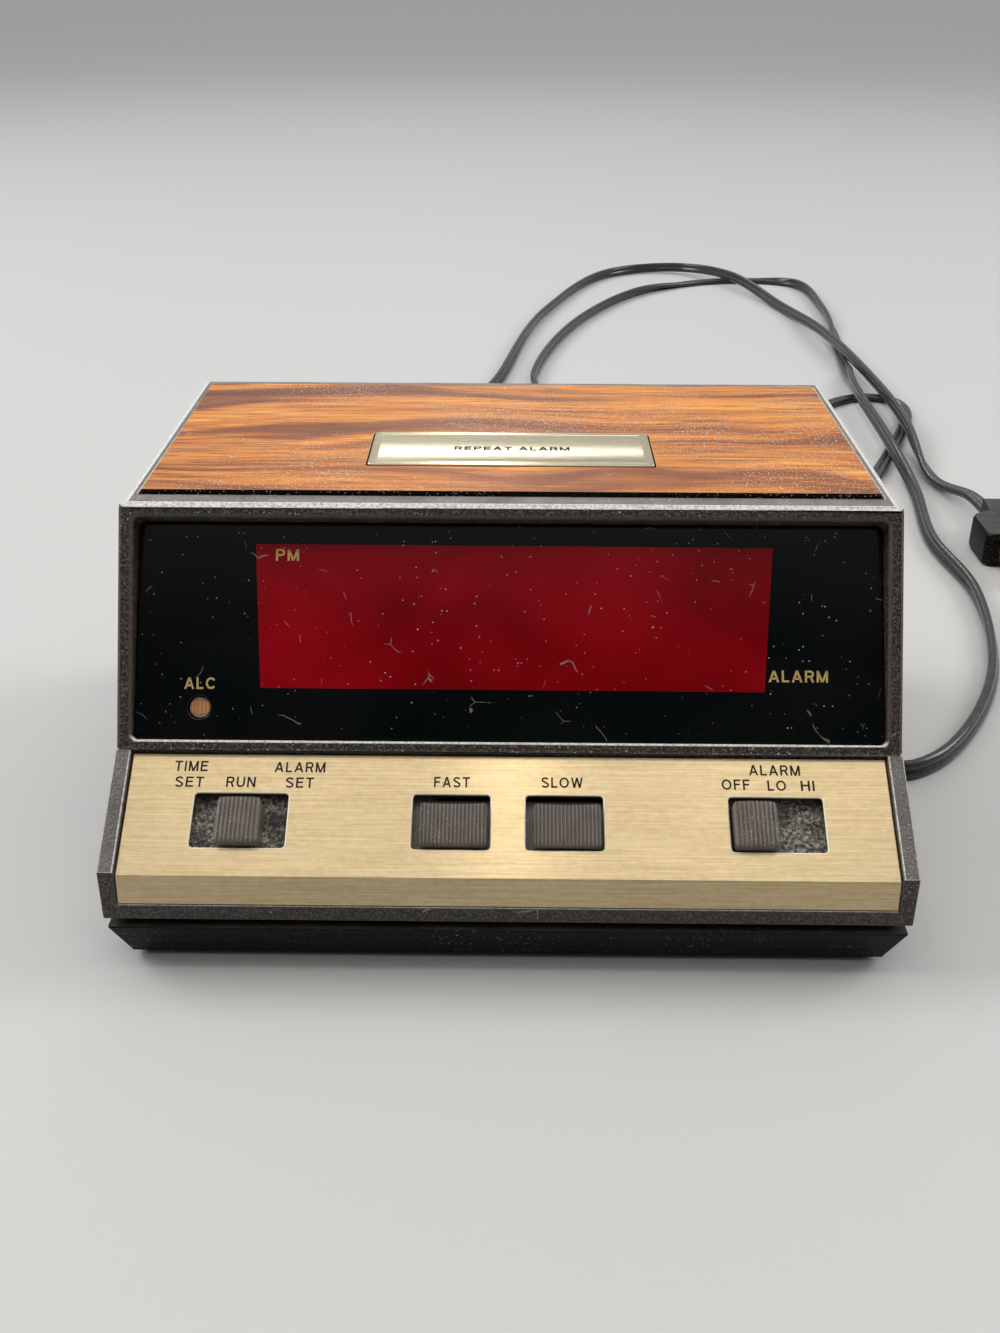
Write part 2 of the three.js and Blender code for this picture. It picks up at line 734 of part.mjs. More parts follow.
// ---- fascia and controls ------------------------------------------------------------------
function controlFascia() {
  const under = offsetLine(fasciaLine, FASCIA_THICKNESS);
  const sheet = acrossX([...fasciaLine, ...under.reverse()], -FASCIA_HALF_WIDTH, FASCIA_HALF_WIDTH);
  const openings = slots.map((slot) =>
    roundedBlock(slot.x, SLOT_CENTRE, slot.width, SLOT_HEIGHT, SLOT_CORNER, -5, 5),
  );
  const placed = openings.map((opening) => opening.applyMatrix4(deck.matrix));
  add(clock, "control_fascia", cut(sheet, ...placed), GOLD_METAL);
}

const SHUTTER_TOP = DECK_UNDER - GAP;
const SHUTTER_UNDER = SHUTTER_TOP - 1;
const LEVER_TOP = SHUTTER_UNDER - GAP;
const SWITCH_TOP = LEVER_TOP - 2;
const CONTROL_BOARD_TOP = -12.6;
const CONTROL_BOARD_THICKNESS = 1.6;
const BUTTON_TRAVEL = 1.2;
const PUSH_SWITCH_TOP = -8;

// crowned, ribbed cap of a slide knob with the dust shutter under it
function slideKnob(name, x) {
  const y = SLOT_CENTRE - KNOB_DROP;
  const shutterWidth = SLIDE_SLOT_WIDTH + 2 * SLIDE_STEP + 2.2;
  const shutter = block(x, SLOT_CENTRE, shutterWidth, SLOT_HEIGHT + 2.2, SHUTTER_UNDER, SHUTTER_TOP);
  const blank = roundedBlock(x, y, KNOB_WIDTH, KNOB_HEIGHT, 0.7, SHUTTER_UNDER, KNOB_PROUD);
  const crown = new THREE.CylinderGeometry(KNOB_CROWN_RADIUS, KNOB_CROWN_RADIUS, 40, 96)
    .translate(x, y, KNOB_PROUD - KNOB_CROWN_RADIUS);
  const grooves = ribGrooves(x, KNOB_WIDTH, KNOB_HEIGHT, y, KNOB_RIBS, KNOB_PROUD - 0.5);
  add(deck, name, cut(join(common(blank, crown), shutter), ...grooves), KNOB_PLASTIC);
}

// grooves that leave upright ribs on a cap, down to z = low
function ribGrooves(x, width, height, y, ribs, low) {
  const pitch = width / ribs;
  return Array.from({ length: ribs - 1 }, (_, i) =>
    block(x - width / 2 + (i + 1) * pitch, y, pitch * 0.42, height + 2, low, low + 2),
  );
}

function slideSwitch(prefix, slotX, knobX) {
  const channel = block(slotX, SLOT_CENTRE, 4 * SLIDE_STEP, 3.4, SWITCH_TOP - 2.5, SWITCH_TOP + 1);
  const can = cut(block(slotX, SLOT_CENTRE, 24, 9, CONTROL_BOARD_TOP + GAP, SWITCH_TOP), channel);
  add(deck, `${prefix}_switch`, can, STEEL);
  const lever = block(knobX, SLOT_CENTRE, 4, 2.8, SWITCH_TOP - 2, LEVER_TOP);
  add(deck, `${prefix}_lever`, lever, BLACK_PLASTIC);
}

// dished, ribbed push button with a flange that holds it under the deck
function pushButton(name, slotX) {
  const x = slotX + BUTTON_PLAY;
  const y = SLOT_CENTRE - BUTTON_DROP;
  const flange = block(x, y, BUTTON_SLOT_WIDTH + 1.6, SLOT_HEIGHT + 1.8, SHUTTER_UNDER, SHUTTER_TOP);
  const cap = roundedBlock(x, y, BUTTON_WIDTH, BUTTON_HEIGHT, 0.5, SHUTTER_UNDER, BUTTON_PROUD);
  const stemEnd = PUSH_SWITCH_TOP + PLUNGER_REACH + BUTTON_TRAVEL;
  const stem = rod(slotX, SLOT_CENTRE, 3.2, stemEnd, SHUTTER_TOP - 0.5, 16);
  const dish = new THREE.CylinderGeometry(DISH_RADIUS, DISH_RADIUS, 40, 128)
    .translate(x, y, BUTTON_PROUD + DISH_RADIUS - DISH_DEPTH);
  const ribbed = BUTTON_WIDTH - 2 * BUTTON_MARGIN;
  const grooves = ribGrooves(x, ribbed, BUTTON_HEIGHT, y, BUTTON_RIBS, BUTTON_PROUD - DISH_DEPTH - 0.3);
  add(deck, name, cut(join(cap, flange, stem), dish, ...grooves), KNOB_PLASTIC);
}

function buttonSwitch(prefix, slotX) {
  pushSwitch(deck, prefix, slotX, SLOT_CENTRE, CONTROL_BOARD_TOP + GAP, PUSH_SWITCH_TOP, BUTTON_TRAVEL);
}

function controlBoard() {
  const low = CONTROL_BOARD_TOP - CONTROL_BOARD_THICKNESS;
  add(deck, "control_board", block(0, SLOT_CENTRE, 146, 17, low, CONTROL_BOARD_TOP), BOARD);
}

// ---- electronics on the base --------------------------------------------------------------
const MAIN_BOARD_TOP = 17.6;

function mainBoard() {
  add(clock, "main_board", box(-18, 31, -28, 58, MAIN_BOARD_TOP - 1.6, MAIN_BOARD_TOP), BOARD);
  flatPackage("clock_chip", -5, 0, 14, 36);
  flatPackage("driver_chip", 14, -12, 7, 19);
  const capacitor = rod(16, 42, 13, MAIN_BOARD_TOP + GAP, MAIN_BOARD_TOP + 25, 24);
  add(clock, "filter_capacitor", capacitor, SLEEVE_BLUE);
}

// integrated circuit on the main board, with one strip for each row of pins
function flatPackage(name, x, y, width, length) {
  const low = MAIN_BOARD_TOP + GAP;
  const body = block(x, y, width, length, low + 1.5, low + 5);
  const pins = [-1, 1].map((side) => block(x + side * (width / 2 - 0.6), y, 0.6, length - 2, low, low + 3));
  add(clock, name, join(body, ...pins), BLACK_PLASTIC);
}

const TRANSFORMER_X = 53;
const TRANSFORMER_Y = 14;
const CORE_WIDTH = 34;
const CORE_DEPTH = 16;
const CORE_HEIGHT = 30;
const CORE_LIMB = 6; // between the core's edge and its windows
const CORE_WINDOW_WIDTH = 7;
const CORE_WINDOW_X = 9.5;
const WINDING_WIDTH = 25.2;
const WINDING_DEPTH = 28;
const STRAP_METAL = 1.3;
const STRAP_WIDTH = 12;
const STRAP_FOOT = 3.5;

// block placed from the transformer's axis
function atTransformer(x, y, width, depth, z0, z1) {
  return block(TRANSFORMER_X + x, TRANSFORMER_Y + y, width, depth, z0, z1);
}

// laminated core with its winding on the middle limb, held down by a steel strap with two feet
function transformer() {
  const low = FOOT_HEIGHT + BASE_FLOOR + GAP + STRAP_METAL;
  const high = low + CORE_HEIGHT;
  const windowLow = low + CORE_LIMB;
  const windowHigh = high - CORE_LIMB;
  const stack = atTransformer(0, 0, CORE_WIDTH, CORE_DEPTH, low, high);
  const windows = [-CORE_WINDOW_X, CORE_WINDOW_X].map((x) =>
    atTransformer(x, 0, CORE_WINDOW_WIDTH, CORE_DEPTH + 2, windowLow, windowHigh),
  );
  add(clock, "transformer_core", cut(stack, ...windows), STEEL);
  const winding = roundedBlock(
    TRANSFORMER_X,
    TRANSFORMER_Y,
    WINDING_WIDTH,
    WINDING_DEPTH,
    4,
    windowLow + 0.4,
    windowHigh - 0.4,
  );
  const limbWidth = 2 * CORE_WINDOW_X - CORE_WINDOW_WIDTH + 2 * GAP;
  const limb = atTransformer(0, 0, limbWidth, CORE_DEPTH + 2 * GAP, low, high);
  add(clock, "transformer_coil", cut(winding, limb), COPPER);
  transformerStrap(low, high);
}

function transformerStrap(low, high) {
  const inside = CORE_WIDTH / 2 + GAP;
  const outside = inside + STRAP_METAL;
  const top = high + GAP;
  const reach = outside + STRAP_FOOT;
  const blank = atTransformer(0, 0, 2 * reach, STRAP_WIDTH, low - STRAP_METAL, top + STRAP_METAL);
  const overCore = atTransformer(0, 0, 2 * inside, STRAP_WIDTH + 2, low - 3, top);
  const overFeet = [-1, 1].map((side) =>
    atTransformer(side * (outside + 10), 0, 20, STRAP_WIDTH + 2, low, top + 5),
  );
  add(clock, "transformer_strap", cut(blank, overCore, ...overFeet), STEEL);
}

function speaker() {
  const floor = FOOT_HEIGHT + BASE_FLOOR + GAP;
  const frame = [
    [24, floor],
    [28, floor],
    [28, floor + 1],
    [24, floor + 1.4],
    [13, floor + 8],
    [11, floor + 8],
    [11, floor + 7],
    [23, floor + 1],
    [24, floor],
  ];
  add(clock, "speaker_frame", lathe(frame, 32).translate(SPEAKER_X, SPEAKER_Y, 0), STEEL);
  const cone = [
    [0, floor + 5.6],
    [6, floor + 5.2],
    [22, floor + 0.6],
    [22.4, floor + 0.9],
    [10.4, floor + 6.4],
    [0, floor + 6.4],
  ];
  add(clock, "speaker_cone", lathe(cone, 32).translate(SPEAKER_X, SPEAKER_Y, 0), PAPER);
  const magnet = rod(SPEAKER_X, SPEAKER_Y, 30, floor + 8 + GAP, floor + 16, 32);
  add(clock, "speaker_magnet", magnet, BLACK_PLASTIC);
}

// ---- cord ---------------------------------------------------------------------------------
// Grommet through the back wall, tapering outwards to the cord. Its axis is Y.
function strainRelief() {
  const profile = [
    [0, -WALL - 2.4],
    [6.6, -WALL - 2.4],
    [6.6, -WALL - GAP],
    [5, -WALL - GAP],
    [5, GAP],
    [6.6, GAP],
    [6.6, 2.4],
    [4.6, 3],
    [3.2, STRAIN_RELIEF_LENGTH],
    [0, STRAIN_RELIEF_LENGTH],
  ];
  const grommet = lathe(profile, 20).rotateX(-Math.PI / 2).translate(CORD_EXIT_X, BACK, CORD_EXIT_Z);
  add(clock, "strain_relief", grommet, BLACK_RUBBER);
}

const CORD_START_Y = BACK + STRAIN_RELIEF_LENGTH + GAP;
const LAID = CORD_DIAMETER / 2; // height of the cord's centre where it lies on the table
const OVER = LAID + 5.9; // where it passes over one strand

// The cord's centre line from the back of the clock to the plug, in loose curves on the table.
const cordRoute = [
  [CORD_EXIT_X, CORD_START_Y, CORD_EXIT_Z],
  [CORD_EXIT_X, CORD_START_Y + 10, CORD_EXIT_Z],
  [53, 126, 12],
  [62, 158, LAID],
  [138, 306, LAID],
  [150, 319.5, LAID],
  [163, 325, LAID],
  [173, 320.5, LAID],
  [176, 309, LAID],
  [171.5, 287, LAID],
  [158, 254, LAID],
  [128, 184, LAID],
  [90, 56, LAID],
  [86.3, 21, LAID],
  [89.9, 10, LAID],
  [99.5, 5.8, LAID],
  [109.5, 10.5, LAID],
  [124, 28, LAID],
  [140, 61, LAID],
  [150, 112, LAID],
  [147.5, 155, LAID],
  [154, 205, LAID],
  [155, 248, OVER],
  [157.5, 324, OVER],
  [166, 395, LAID],
  [175, 490, LAID],
  [168, 553, LAID],
  [128, 561, LAID],
  [79, 533, LAID],
  [37, 461, LAID],
  [10, 350, LAID],
  [14.5, 306, LAID],
  [10.4, 294.6, LAID],
  [0, 290, LAID],
  [-10.4, 294.6, LAID],
  [-14.5, 306, LAID],
  [-6, 350, LAID],
  [18, 480, LAID],
  [62, 578, LAID],
  [103, 588, LAID + 2],
  [131, 557, OVER],
  [152, 492, LAID],
  [163, 420, OVER],
  [169, 322, OVER],
  [168, 274, OVER],
  [165, 218, LAID],
  [171, 190, PLUG_Z - 0.6],
  [PLUG_X, PLUG_REAR_Y + GAP, PLUG_Z],
];

function powerCord() {
  const corners = cordRoute.map((point) => new THREE.Vector3(...point));
  const smooth = new THREE.CatmullRomCurve3(corners, false, "centripetal");
  const onTable = smooth.getSpacedPoints(300).map((p) => p.setZ(Math.max(p.z, LAID)));
  add(clock, "power_cord", tube(new THREE.CatmullRomCurve3(onTable), CORD_DIAMETER, 80), CORD_VINYL);
}

const PLUG_LENGTH = 34;
const PLUG_WIDTH = 23;
const PLUG_THICKNESS = 12;
const BLADE_SPACING = 12.7;
const BLADE_LENGTH = 17;
const BLADE_THICKNESS = 1.5;
const BLADE_WIDTH = 6.3;
const BLADE_HOLE = 3.2;
const BLADE_HOLE_FROM_TIP = 4;

// Moulded plug lying flat, its neck towards +Y and its blades towards -Y.
function plug() {
  const shape = new THREE.Shape();
  const half = PLUG_WIDTH / 2;
  shape.moveTo(-3.4, 0);
  shape.lineTo(-4.4, -10);
  shape.bezierCurveTo(-6, -13, -half, -13, -half, -18);
  shape.lineTo(-half, -PLUG_LENGTH + 1.5);
  shape.lineTo(-half + 1.5, -PLUG_LENGTH);
  shape.lineTo(half - 1.5, -PLUG_LENGTH);
  shape.lineTo(half, -PLUG_LENGTH + 1.5);
  shape.lineTo(half, -18);
  shape.bezierCurveTo(half, -13, 6, -13, 4.4, -10);
  shape.lineTo(3.4, 0);
  const slab = new THREE.ExtrudeGeometry(shape, {
    depth: PLUG_THICKNESS,
    bevelEnabled: false,
    curveSegments: 6,
  }).translate(PLUG_X, PLUG_REAR_Y, PLUG_Z - PLUG_THICKNESS / 2);
  add(clock, "plug_body", slab, BLACK_PLASTIC);
  [-1, 1].forEach((side, i) => plugBlade(`plug_blade_${i + 1}`, PLUG_X + (side * BLADE_SPACING) / 2));
}

// flat blade on edge, pointing towards -Y, with the usual hole near its tip
function plugBlade(name, x) {
  const root = PLUG_REAR_Y - PLUG_LENGTH - GAP;
  const tip = root - BLADE_LENGTH;
  const halfWidth = BLADE_WIDTH / 2;
  const halfThickness = BLADE_THICKNESS / 2;
  const outline = [
    [root, PLUG_Z - halfWidth],
    [root, PLUG_Z + halfWidth],
    [tip + 1.2, PLUG_Z + halfWidth],
    [tip, PLUG_Z + halfWidth - 1.4],
    [tip, PLUG_Z - halfWidth + 1.4],
    [tip + 1.2, PLUG_Z - halfWidth],
  ];
  const hole = new THREE.CylinderGeometry(BLADE_HOLE / 2, BLADE_HOLE / 2, 6, 16)
    .rotateZ(Math.PI / 2)
    .translate(x, tip + BLADE_HOLE_FROM_TIP, PLUG_Z);
  add(clock, name, cut(acrossX(outline, x - halfThickness, x + halfThickness), hole), BRASS);
}

// ---- assembly -----------------------------------------------------------------------------
upperHousing();
basePlate();
feet();
baseScrews();
woodTopPanel();
repeatBar();
repeatSpring();
repeatBracket();
pushSwitch(clock, "repeat", 0, BAR_Y, BRACKET_TOP + GAP, REPEAT_SWITCH_TOP, BAR_TRAVEL);
displayLens();
lightShield();
displayBoard();
digits();
indicatorLamp("pm_lamp", WINDOW_X - 48, WINDOW_Y + 8);
indicatorLamp("alarm_lamp", 66, 7);
photocell();
controlFascia();
slideKnob("mode_knob", -SLIDE_SLOT_X);
slideSwitch("mode", -SLIDE_SLOT_X, -SLIDE_SLOT_X);
slideKnob("alarm_knob", SLIDE_SLOT_X - SLIDE_STEP);
slideSwitch("alarm", SLIDE_SLOT_X, SLIDE_SLOT_X - SLIDE_STEP);
pushButton("fast_button", -BUTTON_SLOT_X);
buttonSwitch("fast", -BUTTON_SLOT_X);
pushButton("slow_button", BUTTON_SLOT_X);
buttonSwitch("slow", BUTTON_SLOT_X);
controlBoard();
mainBoard();
transformer();
speaker();
strainRelief();
powerCord();
plug();

export default clock;
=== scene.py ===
"""A 1970s digital alarm clock with a wood-grain top, on a pale floor, around its CAD frame."""

import json
import math

import bmesh
import bpy
from mathutils import Matrix, Vector


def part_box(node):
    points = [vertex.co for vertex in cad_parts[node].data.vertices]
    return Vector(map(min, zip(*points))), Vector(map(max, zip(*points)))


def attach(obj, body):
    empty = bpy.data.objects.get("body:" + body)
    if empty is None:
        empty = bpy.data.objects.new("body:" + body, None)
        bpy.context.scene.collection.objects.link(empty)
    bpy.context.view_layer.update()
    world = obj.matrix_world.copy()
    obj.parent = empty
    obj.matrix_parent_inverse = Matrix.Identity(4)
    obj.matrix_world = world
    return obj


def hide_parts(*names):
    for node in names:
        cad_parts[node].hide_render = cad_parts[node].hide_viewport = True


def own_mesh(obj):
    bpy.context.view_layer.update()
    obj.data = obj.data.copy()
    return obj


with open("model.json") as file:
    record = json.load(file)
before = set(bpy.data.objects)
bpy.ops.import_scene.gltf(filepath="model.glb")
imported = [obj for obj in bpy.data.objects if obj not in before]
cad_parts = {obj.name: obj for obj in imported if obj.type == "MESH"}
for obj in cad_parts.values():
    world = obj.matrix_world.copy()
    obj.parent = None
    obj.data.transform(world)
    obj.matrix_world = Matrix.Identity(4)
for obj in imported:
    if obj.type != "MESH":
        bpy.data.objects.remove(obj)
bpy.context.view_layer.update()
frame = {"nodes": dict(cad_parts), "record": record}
bodies = frame["record"]["behaviour"]["bodies"]
body_of = {node: body for body, nodes in bodies.items() for node in nodes}
CLOCK_SHELL = body_of["upper_housing"]

MM = 0.001


def mm(*values):
    return Vector(value * MM for value in values)


def new_object(name, data):
    made = bpy.data.objects.new(name, data)
    bpy.context.scene.collection.objects.link(made)
    return made


# ---- camera ----
CAMERA_PLACE = mm(0.57, -283.97, 189.45)
CAMERA_YAW = math.radians(0.574)
CAMERA_PITCH = math.radians(28.531)
CAMERA_ROLL = math.radians(0.176)
CAMERA_LENS = 36.46


def make_camera():
    data = bpy.data.cameras.new("camera")
    data.lens = CAMERA_LENS
    data.sensor_width = 36
    data.clip_start = 0.01
    camera = new_object("camera", data)
    camera.matrix_world = (
        Matrix.Translation(CAMERA_PLACE)
        @ Matrix.Rotation(CAMERA_YAW, 4, "Z")
        @ Matrix.Rotation(math.pi / 2 - CAMERA_PITCH, 4, "X")
        @ Matrix.Rotation(CAMERA_ROLL, 4, "Z")
    )
    bpy.context.scene.camera = camera


# ---- shader tools ----
class Tree:
    """A node tree under construction, with short ways to add to it."""

    def __init__(self, tree):
        self.tree = tree

    def feed(self, socket, value):
        """A constant on an input, or a link to it from another node's output."""
        if isinstance(value, bpy.types.NodeSocket):
            self.tree.links.new(value, socket)
        else:
            socket.default_value = value

    def node(self, kind, inputs=None, **settings):
        made = self.tree.nodes.new(kind)
        for name, value in settings.items():
            setattr(made, name, value)
        for name, value in (inputs or {}).items():
            self.feed(made.inputs[name], value)
        return made

    def noise(self, where, scale=1.0, detail=4.0, roughness=0.5, distortion=0.0):
        names = ("Vector", "Scale", "Detail", "Roughness", "Distortion")
        inputs = dict(zip(names, (where, scale, detail, roughness, distortion)))
        return self.node("ShaderNodeTexNoise", inputs).outputs["Fac"]

    def ramp(self, factor, *stops):
        """Colours or grey levels at positions along factor: (position, value) pairs."""
        made = self.node("ShaderNodeValToRGB", {"Fac": factor})
        elements = made.color_ramp.elements
        while len(elements) < len(stops):
            elements.new(0.5)
        for element, (position, value) in zip(elements, stops):
            element.position = position
            grey = isinstance(value, (int, float))
            element.color = (value, value, value, 1) if grey else (*value, 1)
        return made.outputs["Color"]

    def mix(self, factor, first, second, blend="MIX"):
        inputs = {0: factor}
        for index, color in ((6, first), (7, second)):
            inputs[index] = color if isinstance(color, bpy.types.NodeSocket) else (*color, 1)
        return self.node("ShaderNodeMix", inputs, data_type="RGBA", blend_type=blend).outputs[2]

    def math(self, operation, first, second=0.0):
        inputs = {0: first, 1: second}
        return self.node("ShaderNodeMath", inputs, operation=operation).outputs[0]


class Look(Tree):
    """A material under construction."""

    def __init__(self, name, roughness, color=(0.5, 0.5, 0.5)):
        self.material = bpy.data.materials.new(name)
        self.material.use_nodes = True
        super().__init__(self.material.node_tree)
        self.shader = self.tree.nodes["Principled BSDF"]
        self.roughness = roughness
        self.put("Base Color", (*color, 1))
        self.put("Roughness", roughness)
        self.put("Metallic", 0.0)

    def put(self, name, value):
        self.feed(self.shader.inputs[name], value)

    def place(self, scale=(1, 1, 1), turn=(0, 0, 0)):
        """Object coordinates, scaled along each axis, in repeats per metre."""
        where = self.node("ShaderNodeTexCoord").outputs["Object"]
        inputs = {"Vector": where, "Scale": scale, "Rotation": turn}
        return self.node("ShaderNodeMapping", inputs).outputs["Vector"]

    def facing_up(self, low=0.7, high=0.98):
        """1 where the surface faces up, 0 where it leans more than low."""
        normal = self.node("ShaderNodeNewGeometry").outputs["Normal"]
        parts = self.node("ShaderNodeSeparateXYZ", {"Vector": normal})
        return self.ramp(parts.outputs["Z"], (low, 0.0), (high, 1.0))

    def specks(self, scale, size, keep=0.5, seed=0.0):
        """Scattered small dots: 1 on a dot, 0 elsewhere. Only the share keep of the cells has one."""
        where = self.place((scale, scale, scale), (seed, seed, 0))
        cells = self.node("ShaderNodeTexVoronoi", {"Vector": where, "Scale": 1.0})
        dot = self.ramp(cells.outputs["Distance"], (size, 1.0), (size * 1.6, 0.0))
        chosen = self.ramp(cells.outputs["Color"], (keep - 0.01, 1.0), (keep, 0.0))
        return self.math("MULTIPLY", dot, chosen)

    def bump(self, height, strength, distance):
        inputs = {"Height": height, "Strength": strength, "Distance": distance}
        if self.shader.inputs["Normal"].is_linked:
            inputs["Normal"] = self.shader.inputs["Normal"].links[0].from_socket
        self.put("Normal", self.node("ShaderNodeBump", inputs).outputs["Normal"])


# Grey of the film on faces that point up: part dust, part painted sheen of grazing light.
DUST_AND_SHEEN = (0.36, 0.35, 0.33)
PALE_DUST = (0.66, 0.65, 0.62)


def lint(look, seed):
    """Short stray fibres: stretches of the bent edges between large cells."""
    where = look.place((75, 75, 75), (seed, 0, seed))
    bend = look.node("ShaderNodeTexNoise", {"Vector": where, "Scale": 2.2, "Detail": 1.0})
    inputs = {"Vector": look.mix(0.25, where, bend.outputs["Color"]), "Scale": 1.0}
    cells = look.node("ShaderNodeTexVoronoi", inputs, feature="DISTANCE_TO_EDGE")
    line = look.ramp(cells.outputs["Distance"], (0.0015, 1.0), (0.0045, 0.0))
    patch = look.noise(look.place((170, 170, 170), (0, seed, 1)), 1.0, 1.0)
    return look.math("MULTIPLY", line, look.ramp(patch, (0.63, 0.0), (0.68, 1.0)))


def dusted(look, color, dust_and_sheen_film=0.0, dots=0.5, seed=0.0, fibres=0.0, share=0.16):
    """color with a film of dust and painted sheen on what faces up, scattered specks and stray
    fibres.
    """
    patch = look.noise(look.place((60, 60, 60)), 1.0, 5.0, 0.65)
    patch = look.ramp(patch, (0.35, 0.35), (0.7, 1.0))
    # Film where faces point up: part dust, part painted sheen.
    dust_and_sheen_layer = look.math("MULTIPLY", look.facing_up(), patch)
    color = look.mix(look.math("MULTIPLY", dust_and_sheen_layer, dust_and_sheen_film), color, DUST_AND_SHEEN)
    fine = look.specks(1700, 0.20, 2 * share, seed)
    coarse = look.specks(620, 0.11, share, seed + 1)
    crowd = look.noise(look.place((30, 30, 30), (seed, 0, 0)), 1.0, 4.0)
    crowd = look.ramp(crowd, (0.42, 0.12), (0.62, 1.0))
    dust = look.math("MULTIPLY", look.math("MAXIMUM", fine, coarse), crowd)
    dust = look.math("MULTIPLY", dust, dots)
    if fibres:
        dust = look.math("MAXIMUM", dust, look.math("MULTIPLY", lint(look, seed), fibres))
    return look.mix(dust, color, PALE_DUST)


# ---- materials ----
def brown_plastic(look):
    """Fine-textured brown-black plastic, with dust and a painted sheen where it faces up."""
    grain = look.noise(look.place(), 1900, 2.0, 0.55)
    cloud = look.noise(look.place(), 45, 5.0, 0.6)
    tone = look.ramp(cloud, (0.3, (0.015, 0.0105, 0.0078)), (0.7, (0.023, 0.0168, 0.0128)))
    tone = look.mix(look.ramp(grain, (0.48, 0.0), (0.62, 1.0)), tone, (0.105, 0.082, 0.062))
    look.put("Base Color", dusted(look, tone, dust_and_sheen_film=0.75, dots=0.75, fibres=0.5))
    look.put("Roughness", look.ramp(grain, (0.3, 0.36), (0.75, 0.58)))
    look.bump(grain, 0.8, 0.00035)


def dusty_edge(look):
    """The plastic's rounded edges: a painted highlight, lighter than the plastic, and near white
    where they face up from painted highlight and dust.
    """
    grit = look.noise(look.place(), 1500, 4.0, 0.7)
    speckle = look.ramp(grit, (0.36, 0.45), (0.58, 1.0))
    # Painted highlight: the rounded edges lighter than the plastic.
    edge_highlight_tone = look.ramp(grit, (0.3, (0.030, 0.023, 0.018)), (0.7, (0.115, 0.095, 0.078)))
    # Near white where the edge faces up: painted highlight and dust.
    settled = look.math("MULTIPLY", look.facing_up(0.5, 0.8), speckle)
    look.put("Base Color", look.mix(settled, edge_highlight_tone, (0.86, 0.84, 0.80)))
    look.bump(grit, 0.4, 0.0001)


def knob_plastic(look):
    grain = look.noise(look.place(), 2600, 3.0, 0.6)
    cloud = look.noise(look.place(), 300, 4.0)
    tone = look.ramp(cloud, (0.3, (0.125, 0.102, 0.084)), (0.7, (0.176, 0.147, 0.124)))
    look.put("Base Color", dusted(look, tone, dust_and_sheen_film=0.15, dots=0.75, seed=2.0))
    look.put("Roughness", look.ramp(grain, (0.3, 0.34), (0.75, 0.52)))
    look.bump(grain, 0.3, 0.00006)


def black_plastic(look):
    grain = look.noise(look.place(), 1800, 3.0, 0.6)
    cloud = look.noise(look.place(), 35, 5.0)
    tone = look.ramp(cloud, (0.3, (0.0015, 0.0015, 0.0016)), (0.7, (0.0030, 0.0029, 0.0028)))
    look.put("Base Color", dusted(look, tone, dust_and_sheen_film=0.22, dots=0.4, seed=3.0))
    look.put("Roughness", look.ramp(grain, (0.3, 0.36), (0.75, 0.55)))
    look.put("Specular IOR Level", 0.16)
    look.bump(grain, 0.2, 0.00008)


def black_rubber(look):
    grain = look.noise(look.place(), 1400, 4.0, 0.7)
    tone = look.ramp(grain, (0.3, (0.012, 0.012, 0.012)), (0.75, (0.035, 0.034, 0.033)))
    look.put("Base Color", tone)
    look.put("Roughness", look.ramp(grain, (0.3, 0.65), (0.7, 0.9)))
    look.bump(grain, 0.3, 0.0001)


def wood_laminate(look):
    """Walnut print: wavering bands along X, fine dark fibres and short pores.

    The panel's sides are painted black as shade, and the edge between them and its top is pale: the
    laminate's light edge with a painted highlight.
    """
    sway = look.noise(look.place((9, 16, 1)), 1.0, 2.0, 0.5)
    shift = look.node("ShaderNodeCombineXYZ", {"Y": look.math("MULTIPLY", sway, 5.5)}).outputs[0]
    places = {0: look.place((6.0, 105, 1)), 1: shift}
    swayed = look.node("ShaderNodeVectorMath", places, operation="ADD").outputs[0]
    bands = look.noise(swayed, 1.0, 5.0, 0.62, 0.25)
    tone = look.ramp(
        bands,
        (0.31, (0.16, 0.046, 0.022)),
        (0.42, (0.31, 0.095, 0.025)),
        (0.49, (0.62, 0.210, 0.037)),
        (0.60, (0.88, 0.345, 0.055)),
        (0.76, (0.92, 0.420, 0.085)),
    )
    fine = look.noise(look.place((34, 1250, 1)), 1.0, 4.0, 0.65)
    tone = look.mix(look.ramp(fine, (0.38, 0.75), (0.53, 0.0)), tone, (0.180, 0.050, 0.018))
    pores = look.noise(look.place((150, 3000, 1)), 1.0, 2.0, 0.5)
    tone = look.mix(look.ramp(pores, (0.30, 0.8), (0.39, 0.0)), tone, (0.040, 0.012, 0.006))
    normal = look.node("ShaderNodeNewGeometry").outputs["Normal"]
    height = look.node("ShaderNodeSeparateXYZ", {"Vector": normal}).outputs["Z"]
    # Painted shade and highlight: sides near black as shade, the rounded edge pale as the laminate's
    # light edge with a painted highlight.
    edge = look.ramp(height, (0.25, (0.006, 0.005, 0.004)), (0.4, (0.80, 0.45, 0.24)))
    tone = look.mix(look.ramp(height, (0.80, 1.0), (0.95, 0.0)), tone, edge)
    look.put("Base Color", dusted(look, tone, dust_and_sheen_film=0.10, dots=0.9, seed=4.0, fibres=0.7, share=0.3))
    look.put("Roughness", look.ramp(fine, (0.3, 0.36), (0.7, 0.50)))
    look.put("Specular IOR Level", 0.15)
    look.bump(look.mix(0.5, fine, pores), 0.18, 0.00008)


